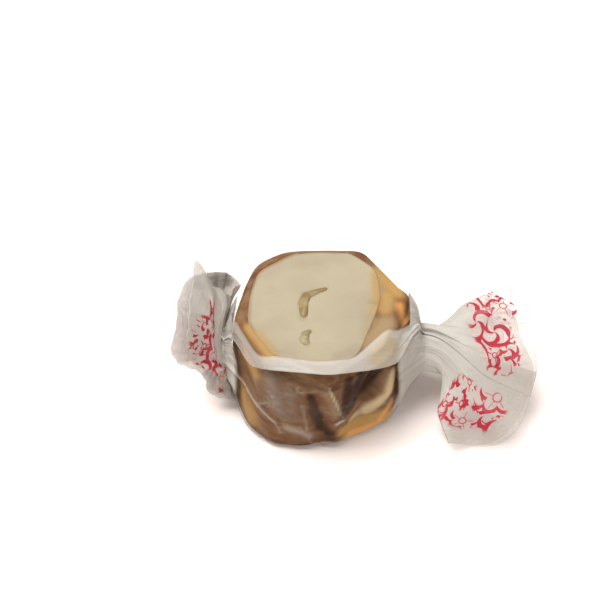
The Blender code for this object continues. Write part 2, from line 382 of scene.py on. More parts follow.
def fibre_group() -> Tree:
    """Make the group for the fibres that pulling leaves, drawn round the candy's axis.

    Returns:
        The group, with a Mask and a Height between 0 and 1.
    """
    least_radius = 0.5 * MM
    graph = new_group(
        "pulled fibres",
        {"Place": ("Vector", None), "Stretch": ("Float", 3.0), "Fineness": ("Float", 900.0)},
        {"Mask": "Float", "Height": "Float"},
    )
    given, taken = graph.tree.nodes["Group Input"], graph.tree.nodes["Group Output"]
    parts = graph.add("SeparateXYZ", {0: given.outputs["Place"]})
    x, y, z = parts.outputs
    radius = graph.math("SQRT", graph.math("ADD", graph.times(x, x), graph.times(y, y)))
    radius = graph.math("MAXIMUM", radius, least_radius)
    level = graph.times(graph.math("ADD", radius, z), given.outputs["Fineness"])
    stretch = given.outputs["Stretch"]
    round_x = graph.times(graph.math("DIVIDE", x, radius), stretch)
    round_y = graph.times(graph.math("DIVIDE", y, radius), stretch)
    drawn = graph.add("CombineXYZ", {0: round_x, 1: round_y, 2: level})
    fibres = graph.noise(drawn.outputs[0], scale=1.0, detail=3.0, rough=0.6)
    graph.feed(taken.inputs["Mask"], graph.ease(fibres, low=0.42, high=0.62))
    graph.feed(taken.inputs["Height"], fibres)
    return graph.tree


@dataclass(frozen=True)
class SprigShape:
    """Shares that shape the print's blossoms and swirls, most of them of a shape's own reach."""

    pitch: float = 0.52  # cells of the scatter in a shape's size
    scatter: float = 0.55  # how far the shapes stray from a grid
    least: float = 0.8  # the smallest reach
    extra: float = 0.25  # how much larger the largest reach is
    blossoms: float = 0.76  # share of the shapes that are blossoms
    roundness: float = 0.85  # how much flatter the petals of a swirl are
    shade_lean: float = -0.8  # how far the shaded side lies to the left
    arm_pitch: float = 2.4  # how tightly the arms of a swirl wind
    arms: float = 3.0  # how many arms a swirl has
    arm_width: float = 0.5  # the sine at which an arm ends
    eye: float = 0.26  # radius of a blossom's eye
    vein_line: float = 0.7  # width of its veins, to that of its outline
    vein_end: float = 0.3  # how far inside the rim the veins end


def sprig_group() -> Tree:
    """Make the group for the print: scattered blossoms and swirls, outlined and shaded on one side.

    Returns:
        The group, with an Ink mask and a Tint mask for the inside of the shapes.
    """
    shape = SprigShape()
    graph = new_group(
        "sprig print",
        {
            "Place": ("Vector", None),
            "Size": ("Float", 2.6),
            "Petals": ("Float", 5.0),
            "Depth": ("Float", 0.36),
            "Line": ("Float", 0.15),
            "Shade": ("Float", 0.36),
        },
        {"Ink": "Float", "Tint": "Float"},
    )
    given, taken = graph.tree.nodes["Group Input"], graph.tree.nodes["Group Output"]
    size = given.outputs["Size"]
    scale = graph.math("DIVIDE", shape.pitch, size)
    half_petals = graph.times(given.outputs["Petals"], 0.5)
    cells = graph.add(
        "TexVoronoi",
        {"Vector": given.outputs["Place"], "Scale": scale, "Randomness": shape.scatter},
        voronoi_dimensions="2D",
    )
    chance = graph.add("SeparateColor", {0: cells.outputs["Color"]})
    local = graph.vector("SUBTRACT", given.outputs["Place"], cells.outputs["Position"])
    turned = graph.turned(local, graph.times(chance.outputs[0], math.tau))

    share = graph.math("MULTIPLY_ADD", chance.outputs[1], shape.extra, shape.least)
    reach = graph.times(size, share)
    swirls = graph.above(chance.outputs[2], shape.blossoms)
    flat = graph.minus(1.0, graph.times(swirls, shape.roundness))

    def rim(place: object) -> tuple[Socket, Socket]:
        """Measure a place against the petals' rim.

        Args:
            place: the place in the shape's own frame.

        Returns:
            How far the place lies inside the rim, and its angle round the middle.
        """
        parts = graph.add("SeparateXYZ", {0: place})
        angle = graph.math("ARCTAN2", parts.outputs[1], parts.outputs[0])
        away = graph.length(place)
        petal = graph.math("ABSOLUTE", graph.math("COSINE", graph.times(angle, half_petals)))
        depth = graph.times(given.outputs["Depth"], flat)
        low = graph.minus(1.0, depth)
        edge = graph.times(reach, graph.math("MULTIPLY_ADD", petal, depth, low))
        return graph.minus(edge, away), angle

    inside, angle = rim(turned)
    shade = given.outputs["Shade"]
    shift = graph.add("CombineXYZ", {0: graph.times(shade, shape.shade_lean), 1: shade}).outputs[0]
    inner, _ = rim(graph.vector("SUBTRACT", turned, shift))
    line = given.outputs["Line"]
    body = graph.above(inside, 0.0)
    hollow = graph.above(inner, line)
    outline = graph.times(body, graph.minus(1.0, hollow))

    away = graph.minus(reach, inside)
    arm = graph.math("MULTIPLY_ADD", away, shape.arm_pitch, graph.times(angle, shape.arms))
    arms = graph.above(graph.math("SINE", arm), shape.arm_width)
    arms = graph.times(arms, graph.times(swirls, hollow))
    middle = graph.length(turned)
    eye = graph.minus(graph.times(reach, shape.eye), middle)
    ring = graph.times(graph.above(eye, 0.0), graph.math("LESS_THAN", eye, line))
    vein = graph.math("ABSOLUTE", graph.math("SINE", graph.times(angle, half_petals)))
    vein_line = graph.times(line, shape.vein_line)
    vein = graph.math("LESS_THAN", graph.times(vein, middle), vein_line)
    vein_end = graph.times(reach, shape.vein_end)
    vein = graph.times(vein, graph.above(inside, vein_end))
    vein = graph.times(vein, graph.math("LESS_THAN", eye, 0.0))
    ring = graph.times(graph.math("MAXIMUM", ring, vein), graph.minus(1.0, swirls))
    ink = graph.math("MAXIMUM", outline, graph.math("MAXIMUM", arms, ring))

    graph.feed(taken.inputs["Ink"], ink)
    graph.feed(taken.inputs["Tint"], body)
    return graph.tree


# Sets of fine creases: their turn in radians, their scale along, across and up, and their strength
CREASE_SETS = (
    (0.06, (14, 95, 1), 1.0),
    (0.9, (20, 70, 1), 0.55),
    (-0.75, (16, 64, 1), 0.55),
)
CREASE_HEIGHT = 5.0


def crinkle_group() -> Tree:
    """Make the group for the fine creases of waxed paper, most of them drawn along the sheet.

    Returns:
        The group, with a Height for the bump and a White mask along the creases: whitened wax, and painted
        glints of their gloss.
    """
    graph = new_group(
        "paper crinkles",
        {"Sheet": ("Vector", None), "Width": ("Float", 0.02)},
        {"Height": "Float", "White": "Float"},
    )
    given, taken = graph.tree.nodes["Group Input"], graph.tree.nodes["Group Output"]
    sheet = given.outputs["Sheet"]
    patches = graph.ease(graph.noise(sheet, scale=22.0, detail=1.0), low=0.45, high=0.62)
    height: object = 0.0
    white: object = 0.0
    for turn, scale, strength in CREASE_SETS:
        drawn = graph.vector("MULTIPLY", graph.turned(sheet, turn), scale)
        wave = graph.noise(drawn, scale=1.0, detail=1.5, rough=0.6)
        away = graph.math("ABSOLUTE", graph.minus(wave, 0.5))
        narrow = graph.math("DIVIDE", away, given.outputs["Width"])
        line = graph.add("Math", {0: 1.0, 1: narrow}, operation="SUBTRACT", use_clamp=True).outputs[0]
        # White lines along the creases: whitened wax, and painted glints of the creases' gloss
        white = graph.math("MAXIMUM", white, graph.times(line, strength))
        height = graph.math("MULTIPLY_ADD", away, CREASE_HEIGHT * strength, height)
    graph.feed(taken.inputs["White"], graph.times(white, patches))
    graph.feed(taken.inputs["Height"], height)
    return graph.tree


def new_material(name: str, **plain: object) -> tuple[Material, Graph, Node]:
    """Start a material.

    Args:
        name: its name.
        **plain: the shader's plain values, with underscores for the spaces of their names.

    Returns:
        The material, a graph of its nodes, and its shader.
    """
    made = bpy.data.materials.new(name)
    made.use_nodes = True
    shader = made.node_tree.nodes["Principled BSDF"]
    for label, value in plain.items():
        shader.inputs[label.replace("_", " ")].default_value = value
    return made, Graph(made.node_tree), shader


@dataclass(frozen=True)
class CreamFinish:
    """Aerated cream taffy: matt, waxy, tinted where it thins over the caramel, with painted shade round
    its streaks.
    """

    cream: Colour = (0.370, 0.311, 0.212, 1)
    shade: Colour = (0.332, 0.279, 0.190, 1)
    rim: Colour = (0.27, 0.185, 0.095, 1)
    gold: Colour = (0.36, 0.23, 0.085, 1)
    # olive: olive tone, and painted shade along the hollows round the streaks
    olive: Colour = (0.20, 0.155, 0.055, 1)
    smoke: Colour = (0.25, 0.205, 0.145, 1)
    fibre_share: float = 0.12
    grain_share: float = 0.4

    def make(self, fibres: Tree) -> Material:
        """Build the material.

        Args:
            fibres: the group for pulled fibres.

        Returns:
            The material.
        """
        made, graph, shader = new_material(
            "cream taffy",
            Specular_IOR_Level=0.3,
            Subsurface_Weight=0.2,
            Subsurface_Radius=(1.0, 0.7, 0.4),
            Subsurface_Scale=0.6 * MM,
        )
        place = graph.place()
        cloud = graph.noise(place, scale=160.0, detail=2.0)
        colour = graph.blend(graph.ease(cloud, low=0.35, high=0.7), self.cream, self.shade)
        strand = graph.add("Group", {"Place": place, "Stretch": 2.0, "Fineness": 700.0}, node_tree=fibres)
        colour = graph.blend(graph.times(strand.outputs["Mask"], self.fibre_share), colour, self.shade)
        colour = graph.stain(colour, self.rim, "rim", cloud, uneven=1.3, low=0.45, high=1.3)
        colour = graph.stain(colour, self.gold, "gold", cloud, uneven=0.5, low=0.05, high=0.95)
        colour = graph.blend(graph.attribute("smoke"), colour, self.smoke)
        # Olive tone, and painted shade along the hollows round the streaks
        colour = graph.blend(graph.attribute("olive"), colour, self.olive)
        graph.feed(shader.inputs["Base Color"], colour)
        rough = graph.ease(cloud, low=0.2, high=0.8, start=0.48, end=0.62)
        graph.feed(shader.inputs["Roughness"], rough)
        grain = graph.noise(place, scale=1500.0, detail=2.0)
        height = graph.math("MULTIPLY_ADD", grain, self.grain_share, strand.outputs["Height"])
        graph.bump(shader, height, strength=0.12, distance=0.2 * MM)
        return made


@dataclass(frozen=True)
class CaramelFinish:
    """Cooked caramel taffy, from amber to dark brown, with the paper's creases pressed into it and painted
    shade, highlights and glow among its tones.
    """

    caramel: Colour = (0.165, 0.075, 0.033, 1)
    toffee: Colour = (0.125, 0.052, 0.024, 1)
    tan: Colour = (0.31, 0.215, 0.115, 1)
    amber: Colour = (0.40, 0.235, 0.075, 1)
    # glow: bright orange caramel on the lumps, and painted glow of light through the caramel at the side's
    # lower right
    glow: Colour = (0.68, 0.31, 0.085, 1)
    # dark: deep brown caramel, and painted shade in the side's folds, below the paper's loose edge and
    # along the foot
    dark: Colour = (0.024, 0.007, 0.002, 1)
    # pale: light tan on the side, lightened as painted highlight on its ridges, its band and its bottom
    # right
    pale: Colour = (0.60, 0.46, 0.26, 1)
    fibre_share: float = 0.3
    crease_share: float = 0.8

    def make(self, fibres: Tree, crinkles: Tree) -> Material:
        """Build the material.

        Args:
            fibres: the group for pulled fibres.
            crinkles: the group for fine creases.

        Returns:
            The material.
        """
        made, graph, shader = new_material(
            "caramel taffy",
            Specular_IOR_Level=0.06,
            Subsurface_Weight=0.15,
            Subsurface_Radius=(1.0, 0.45, 0.15),
            Subsurface_Scale=0.5 * MM,
            Coat_Weight=0.03,
            Coat_Roughness=0.2,
        )
        place = graph.place()
        cloud = graph.noise(place, scale=210.0, detail=3.0)
        colour = graph.blend(graph.ease(cloud, low=0.35, high=0.7), self.caramel, self.toffee)
        strand = graph.add("Group", {"Place": place, "Stretch": 3.5, "Fineness": 1300.0}, node_tree=fibres)
        colour = graph.blend(graph.times(strand.outputs["Mask"], self.fibre_share), colour, self.tan)
        # The dark, pale and glow tones are partly painted shade, highlight and glow of light
        for tone in Tone:
            shown = getattr(self, tone.value)
            colour = graph.stain(colour, shown, tone.value, cloud, uneven=0.4, low=0.08, high=0.92)
        graph.feed(shader.inputs["Base Color"], colour)
        rough = graph.ease(cloud, low=0.2, high=0.8, start=0.34, end=0.55)
        graph.feed(shader.inputs["Roughness"], rough)
        x, y, z = graph.add("SeparateXYZ", {0: place}).outputs
        pressed = graph.add("CombineXYZ", {0: x, 1: z, 2: y}).outputs[0]
        crinkle = graph.add("Group", {"Sheet": pressed}, node_tree=crinkles)
        creases = crinkle.outputs["Height"]
        height = graph.math("MULTIPLY_ADD", creases, self.crease_share, strand.outputs["Height"])
        graph.bump(shader, height, strength=0.4, distance=0.25 * MM)
        return made


@dataclass(frozen=True)
class StreakFinish:
    """An amber streak in the core."""

    name: str
    amber: Colour
    pale: Colour

    def make(self) -> Material:
        """Build the material.

        Returns:
            The material.
        """
        made, graph, shader = new_material(self.name, Roughness=0.45, Specular_IOR_Level=0.3)
        cloud = graph.noise(graph.place(), scale=420.0, detail=2.0)
        colour = graph.blend(graph.ease(cloud, low=0.4, high=0.6), self.amber, self.pale)
        graph.feed(shader.inputs["Base Color"], colour)
        graph.bump(shader, cloud, strength=0.3, distance=0.2 * MM)
        return made


@dataclass(frozen=True)
class PaperFinish:
    """Waxed paper: soft gloss, white where it stands off, with an outlined red print on its fans."""

    white: Colour = (0.55, 0.508, 0.450, 1)
    clear: Colour = (0.26, 0.16, 0.09, 1)
    stain: Colour = (0.56, 0.42, 0.22, 1)
    shade: Colour = (0.22, 0.19, 0.16, 1)
    ink: Colour = (0.41, 0.014, 0.036, 1)
    tint: Colour = (0.66, 0.42, 0.40, 1)
    # Opacity and whiteness of the lines along the fine creases, which are whitened wax and painted glints
    crease_opacity: float = 0.24
    crease_white_and_glint: float = 0.8
    ink_opacity: float = 0.8
    tint_share: float = 0.35
    grain_share: float = 0.25
    # Each layer's shift, size, petals and depth, the lowest first
    prints: tuple[tuple[Place, float, float, float], ...] = (
        ((-13, 41, 0), 1.5, 4.0, 0.5),
        ((31, 17, 0), 1.9, 3.0, 0.62),
        ((0, 0, 0), 2.8, 5.0, 0.38),
    )

    def make(self, name: str, crinkles: Tree, sprigs: Tree | None) -> Material:
        """Build the material.

        Args:
            name: the material's name.
            crinkles: the group for fine creases.
            sprigs: the group for the print, where there is one.

        Returns:
            The material.
        """
        made, graph, shader = new_material(name, Roughness=0.42, Specular_IOR_Level=0.4)
        sheet = graph.add("UVMap", uv_map="sheet").outputs[0]
        crinkle = graph.add("Group", {"Sheet": sheet}, node_tree=crinkles)
        creased = graph.times(crinkle.outputs["White"], graph.attribute("creased"))
        veil = graph.attribute("veil")
        colour = graph.blend(graph.ease(veil, low=0.06, high=0.3), self.clear, self.white)
        colour = graph.blend(graph.attribute("stain"), colour, self.stain)
        # Whitened creases, partly painted glints
        colour = graph.blend(graph.times(creased, self.crease_white_and_glint), colour, self.white)
        colour = graph.blend(graph.attribute("shade"), colour, self.shade)
        alpha = graph.math("MULTIPLY_ADD", creased, self.crease_opacity, veil)
        if sprigs is not None:
            flat = graph.add("UVMap", uv_map="print").outputs[0]
            in_mm = {0: flat, "Scale": 1 / (MAP_SCALE * MM)}
            flat = graph.add("VectorMath", in_mm, operation="SCALE").outputs[0]
            ink: object = 0.0
            tint: object = 0.0
            for shift, size, petals, depth in self.prints:
                spot = graph.vector("ADD", flat, shift)
                inputs = {"Place": spot, "Size": size, "Petals": petals, "Depth": depth}
                sprig = graph.add("Group", inputs, node_tree=sprigs).outputs
                bare = graph.minus(1.0, sprig["Tint"])
                ink = graph.math("MULTIPLY_ADD", ink, bare, sprig["Ink"])
                tint = graph.math("MAXIMUM", tint, sprig["Tint"])
            near = graph.attribute("print_area")
            ink, tint = graph.times(ink, near), graph.times(tint, near)
            colour = graph.blend(graph.times(tint, self.tint_share), colour, self.tint)
            colour = graph.blend(ink, colour, self.ink)
            alpha = graph.math("MAXIMUM", alpha, graph.times(ink, self.ink_opacity))
        graph.feed(shader.inputs["Base Color"], colour)
        graph.feed(shader.inputs["Alpha"], graph.math("MINIMUM", alpha, 1.0))
        grain = graph.noise(graph.place(), scale=900.0, detail=2.0)
        height = graph.math("MULTIPLY_ADD", grain, self.grain_share, crinkle.outputs["Height"])
        graph.bump(shader, height, strength=0.4, distance=0.2 * MM)
        return made


class Tone(Enum):
    """The tones laid on the jacket's caramel: partly tones it is cooked to, partly painted shade,
    highlights and glow.
    """

    TAN = "tan"
    PALE_AND_HIGHLIGHT = "pale"
    AMBER = "amber"
    GLOW = "glow"
    DARK = "dark"


@dataclass(frozen=True)
class Outline:
    """An outline of flats with rounded corners round the candy's axis.

    Attributes:
        flats: the bearing of each flat's normal from +X in degrees, and its distance in millimetres.
        corner: the higher, the sharper its corners.
    """

    flats: tuple[tuple[float, float], ...]
    corner: int = 24

    def radius(self, angle: Values) -> Values:
        """Measure the outline.

        Args:
            angle: bearings from +X, in radians.

        Returns:
            The outline's distance from the axis at each of them, in metres.
        """
        shares = [
            np.maximum(np.cos(angle - math.radians(bearing)) / distance, 0) ** self.corner
            for bearing, distance in self.flats
        ]
        return sum(shares) ** (-1 / self.corner) * MM


def finished(piece: Piece, name: str, materials: list[Material]) -> Piece:
    """Name a piece, turn its faces outwards, smooth it and dress it.

    Args:
        piece: the object.
        name: its name.
        materials: its finishes, in the order of its slots.

    Returns:
        The same object.
    """
    piece.name = piece.data.name = name
    bpy.ops.object.select_all(action="DESELECT")
    piece.select_set(True)
    bpy.context.view_layer.objects.active = piece
    bpy.ops.object.mode_set(mode="EDIT")
    bpy.ops.mesh.select_all(action="SELECT")
    bpy.ops.mesh.normals_make_consistent(inside=False)
    bpy.ops.object.mode_set(mode="OBJECT")
    bpy.ops.object.shade_smooth()
    piece.data.materials.clear()
    for material in materials:
        piece.data.materials.append(material)
    return piece


def corners_of(piece: Piece) -> Values:
    """Read a piece's points as rows of metres."""
    places = np.empty(len(piece.data.vertices) * 3)
    piece.data.vertices.foreach_get("co", places)
    return places.reshape(-1, 3)


def set_corners(piece: Piece, places: Values) -> None:
    """Move a piece's points to rows of metres."""
    piece.data.vertices.foreach_set("co", places.astype(np.float32).ravel())
    piece.data.update()


def set_value(piece: Piece, name: str, values: Values) -> None:
    """Store a value for each point of a piece, for its material.

    Args:
        piece: the object.
        name: the value's name.
        values: one number for each point.
    """
    layer = piece.data.attributes.new(name, "FLOAT", "POINT")
    layer.data.foreach_set("value", values.astype(np.float32))


@dataclass(frozen=True)
class Candy:
    """The candy, upright on the paper, in its packed size."""

    height: float = 15.6 * MM
    floor: float = 0.6 * MM
    rounding: float = 1.3 * MM
    bulge: float = 0.35 * MM
    side_radius: float = 12.3 * MM  # mean radius of the side, on which folds and lumps are laid out
    fold_half_height: float = 5.5 * MM
    foot: Outline = Outline(
        (
            (90, 12.8), (35, 12.4), (-17, 12.3), (-60, 12.2), (-90, 13.0),
            (-129, 14.2), (-157, 13.4), (-176, 12.6), (128, 12.6),
        )
    )
    top: Outline = Outline(
        (
            (90, 12.9), (35, 12.6), (-17, 11.7), (-56, 12.0),
            (-115, 11.7), (-151, 11.9), (166, 11.8), (124, 13.6),
        )
    )
    core: Outline = Outline(
        (
            (90, 11.8), (48, 11.5), (5, 8.9), (-18, 7.6), (-62, 9.9),
            (-103, 10.1), (-147, 10.1), (180, 10.3), (167, 10.5), (127, 11.5),
        )
    )
    # Bearing, height, depth, half width along the side, and lean over the height of each
    folds: tuple[tuple[float, ...], ...] = (
        (-54, 8.6, 2.0, 2.1, 0.42),
        (-90, 4.6, 0.9, 1.1, 0.1),
        (-140, 7.0, 0.5, 1.6, -0.35),
        (62, 8.0, 0.8, 2.4, 0.3),
        (118, 6.5, 0.6, 1.8, -0.25),
    )
    # Bearing, height, how far it stands out, and half width of each
    lumps: tuple[tuple[float, ...], ...] = ((0, 13.2, 0.9, 1.6), (20, 13.6, 0.5, 1.4))
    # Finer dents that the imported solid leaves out, as the folds
    dents: tuple[tuple[float, ...], ...] = (
        (-74, 6.0, 0.35, 0.7, 0.5),
        (-103, 9.0, 0.22, 0.6, -0.3),
        (-118, 4.0, 0.3, 0.9, -0.4),
        (-35, 4.5, 0.3, 0.9, 0.6),
        (-20, 9.0, 0.3, 1.0, 0.3),
        (-160, 8.0, 0.25, 0.8, -0.3),
        (85, 9.0, 0.3, 1.0, 0.2),
        (150, 7.0, 0.3, 1.1, 0.3),
    )
    # Middle line of a streak, with a half width at each of its points
    hook: tuple[Place, ...] = (
        (1.1, 4.5, 0.2),
        (-0.4, 3.9, 0.36),
        (-1.9, 3.1, 0.6),
        (-2.4, 1.7, 0.62),
        (-2.3, -1.3, 0.46),
    )
    crescent: tuple[Place, ...] = (
        (-1.3, -3.7, 0.22),
        (-2.1, -4.4, 0.5),
        (-2.3, -5.5, 0.6),
        (-1.8, -6.5, 0.36),
    )
    hollow: float = 0.07 * MM  # how far the face sinks round the streaks
    hollow_reach: float = 0.6  # from how far outside the streaks, as a share of hollow_run
    hollow_run: float = 0.8 * MM
    plane_depth: float = 0.08 * MM  # depth of the face's shallow planes, of which there are two sets
    plane_sizes: tuple[float, float] = (5.1 * MM, 6.3 * MM)
    plane_shifts: tuple[float, float] = (0.7, 1.9)
    plane_skew: float = 0.4  # how far the second set is turned
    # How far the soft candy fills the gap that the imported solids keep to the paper
    plump_side: float = 0.45 * MM
    plump_top: float = 0.28 * MM
    overlap: float = 0.05 * MM  # how far the jacket reaches into the core, so that no gap shows
    seam_drop: float = 0.04 * MM  # how much lower the jacket's face is at the core
    streak_growth: float = 0.12 * MM  # how far the streaks reach into the core
    streak_drop: float = 0.08 * MM  # how much lower the streaks are than the face
    round_segments: int = 300
    face_rings: int = 46

    def swollen(self, places: Values) -> Values:
        """Let the candy fill the paper.

        Args:
            places: one row of metres for each point.

        Returns:
            The same places, spread from the candy's middle.
        """
        middle = self.floor + self.height / 2
        spread = 1 + self.plump_side / self.side_radius
        rise = 1 + 2 * self.plump_top / self.height
        return np.column_stack((places[:, :2] * spread, middle + (places[:, 2] - middle) * rise))

    def edge_inset(self, height: Values) -> Values:
        """Measure how far the side stands in from its outline.

        Args:
            height: heights above the candy's floor.

        Returns:
            The inset at each of them.
        """
        middle = np.abs(2 * height / self.height - 1)
        near = np.minimum(np.minimum(height, self.height - height), self.rounding)
        drop = self.rounding - near
        rounding = self.rounding - np.sqrt(np.maximum(self.rounding**2 - drop**2, 0))
        return rounding + self.bulge * (middle**2 - 1)

    def outline(self, angle: Values, height: Values) -> Values:
        """Measure the jacket's outline between its foot and its top."""
        foot, top = self.foot.radius(angle), self.top.radius(angle)
        return foot + (top - foot) * height / self.height

    def pressed(self, marks: tuple[tuple[float, ...], ...], angle: Values, height: Values) -> Values:
        """Measure how deep the side is pressed in.

        Args:
            marks: bearing, height, depth, half width and lean of each fold.
            angle: bearings from +X.
            height: heights above the candy's floor.

        Returns:
            The depth at each place.
        """
        depth = np.zeros(np.broadcast(angle, height).shape)
        for bearing, level, deepest, half_width, lean in marks:
            rise = height - level * MM
            along = wrapped(angle - math.radians(bearing)) * self.side_radius - lean * rise
            fade = (along / (half_width * MM)) ** 2 + (rise / self.fold_half_height) ** 2
            depth += deepest * MM * np.exp(-fade)
        return depth

    def paper_side(self, angle: Values, height: Values) -> Values:
        """Measure the side as the paper meets it, without its folds.

        Args:
            angle: bearings from +X.
            height: heights above the candy's floor.

        Returns:
            The side's distance from the axis.
        """
        lift = np.zeros(np.broadcast(angle, height).shape)
        for bearing, level, highest, half_width in self.lumps:
            along = wrapped(angle - math.radians(bearing)) * self.side_radius
            away = np.hypot(along, height - level * MM) / (half_width * MM)
            lift += highest * MM * np.exp(-(away**2))
        return self.outline(angle, height) - self.edge_inset(height) + lift

    def jacket_side(self, angle: Values, height: Values) -> Values:
        """Measure the jacket's side with its folds and dents."""
        pressed = self.pressed(self.folds + self.dents, angle, height)
        return self.paper_side(angle, height) - pressed

    def face_height(self, x: Values, y: Values) -> Values:
        """Measure the upper cut face, which rolls down at its rim and is pulled into shallow planes.

        Args:
            x: places across.
            y: places towards the back.

        Returns:
            The height of the face above the origin.
        """
        angle, radius = np.arctan2(y, x), np.hypot(x, y)
        past = np.clip(radius - (self.top.radius(angle) - self.rounding), 0, self.rounding)
        drop = self.rounding - np.sqrt(self.rounding**2 - past**2)
        ways = (x, y + self.plane_skew * x)
        planes = sum(
            np.abs(np.sin(way / size + shift)) - 1
            for way, size, shift in zip(ways, self.plane_sizes, self.plane_shifts)
        )
        return self.floor + self.height - drop + planes * self.plane_depth

    def streak_away(self, line: tuple[Place, ...], x: Values, y: Values) -> Values:
        """Measure how far places are outside a streak.

        Args:
            line: the streak's middle line in millimetres, with a half width at each of its points.
            x: places across.
            y: places towards the back.

        Returns:
            Distance outside the streak's edge, negative inside.
        """
        nearest = np.full(x.shape, np.inf)
        for (x0, y0, w0), (x1, y1, w1) in zip(line, line[1:]):
            run = np.array((x1 - x0, y1 - y0)) * MM
            share = np.clip(((x - x0 * MM) * run[0] + (y - y0 * MM) * run[1]) / (run @ run), 0, 1)
            away = np.hypot(x - x0 * MM - share * run[0], y - y0 * MM - share * run[1])
            nearest = np.minimum(nearest, away - (w0 + (w1 - w0) * share) * MM)
        return nearest

    def build_core(self, finish: Material) -> Piece:
        """Model the cream core from a sphere, flattened into a drum with its hollows for the streaks.

        Args:
            finish: its material.

        Returns:
            The core.
        """
        side_rings, foot_rings = 6, 12
        # The face widens by this much over its last rings, which lie closer together than the others
        skirt, skirt_rings, spacing = 0.2 * MM, 4, 0.9
        rings = self.face_rings + side_rings + foot_rings
        bpy.ops.mesh.primitive_uv_sphere_add(segments=self.round_segments, ring_count=rings, radius=1)
        piece = bpy.context.object
        start = corners_of(piece)
        angle = np.arctan2(start[:, 1], start[:, 0])
        ring = np.round((math.pi / 2 - np.arcsin(np.clip(start[:, 2], -1, 1))) / math.pi * rings)
        on_face = ring <= self.face_rings
        outline = self.core.radius(angle)
        upper = outline + skirt * smooth((ring - self.face_rings + skirt_rings) / skirt_rings)
        inward = np.clip(ring / self.face_rings, 0, 1)
        outward = np.clip((rings - ring) / foot_rings, 0, 1)
        radius = np.where(on_face, upper * inward**spacing, outline * outward)
        x, y = radius * np.cos(angle), radius * np.sin(angle)
        face = self.face_height(x, y)
        groove = np.zeros(len(x))
        for line in (self.hook, self.crescent):
            away = self.streak_away(line, x, y) / self.hollow_run
            groove = np.maximum(groove, smooth(self.hollow_reach - away))
        down = np.clip((ring - self.face_rings) / side_rings, 0, 1)
        below = self.floor + (face - self.floor) * (1 - down)
        z = np.where(on_face, face - self.hollow * groove, below)
        set_corners(piece, self.swollen(np.stack((x, y, z), axis=1)))
        self.paint_core(piece, x, y, on_face, outline - radius)
        return finished(piece, "core_cream", [finish])

    def paint_core(self, piece: Piece, x: Values, y: Values, on_face: Values, inset: Values) -> None:
        """Store where the core's tones show.

        Args:
            piece: the core.
            x: places across, before the candy is swollen.
            y: places towards the back.
            on_face: which points are on the upper face.
            inset: how far inside the core's outline they are.
        """
        rim_width, hook_shade, crescent_shade = 0.8 * MM, 0.22, 0.12
        # The caramel shows through the cream's rim at the left only
        fade = 1 - smooth((x / MM - 2.0) / 4.0)
        set_value(piece, "rim", smooth(1 - inset / rim_width) * on_face * fade)
        places = corners_of(piece)
        tones = {name: painted(strokes, places) for name, strokes in self.core_tones().items()}
        # Painted shade along the walls of the hollows round the streaks, shifted to the hook's upper left
        by_hook = self.streak_away(self.hook, x + 0.12 * MM, y - 0.1 * MM) / (0.5 * MM)
        by_crescent = self.streak_away(self.crescent, x, y) / (0.4 * MM)
        hollow_shade = np.maximum(hook_shade * smooth(1 - by_hook), crescent_shade * smooth(1 - by_crescent))
        tones["olive"] = np.maximum(tones["olive"], hollow_shade * on_face)
        for name, share in tones.items():
            set_value(piece, name, share)

    def core_tones(self) -> dict[str, tuple[Stroke, ...]]:
        """Place the core's tones.

        Returns:
            The strokes of each tone, on the face.
        """
        return {
            "smoke": face_strokes(
                (-5.4, -8.0, 16.2, -3.8, -8.7, 16.2, 0.8, 0.3),
                (2.6, -9.2, 16.2, 5.4, -7.6, 16.2, 1.1, 0.5),
                (6.6, -5.0, 16.2, 7.2, -1.5, 16.2, 1.2, 0.35),
                (-6.5, 9.2, 16.2, -8.0, 7.4, 16.2, 1.0, 0.3),
            ),
            "gold": face_strokes(
                (8.9, 7.6, 16.2, 9.2, 1.4, 16.2, 1.5, 1.0),
                (8.2, 0.6, 16.2, 6.6, -5.6, 16.2, 1.0, 0.6),
                (-9.0, -4.6, 16.2, -6.4, -8.4, 16.2, 0.8, 0.7),
            ),
            "olive": face_strokes(
                (-2.0, 9.8, 16.2, -0.5, 10.2, 16.2, 1.0, 0.16),
                (7.4, 1.9, 16.2, 9.2, 1.5, 16.2, 0.5, 0.35),
            ),
        }

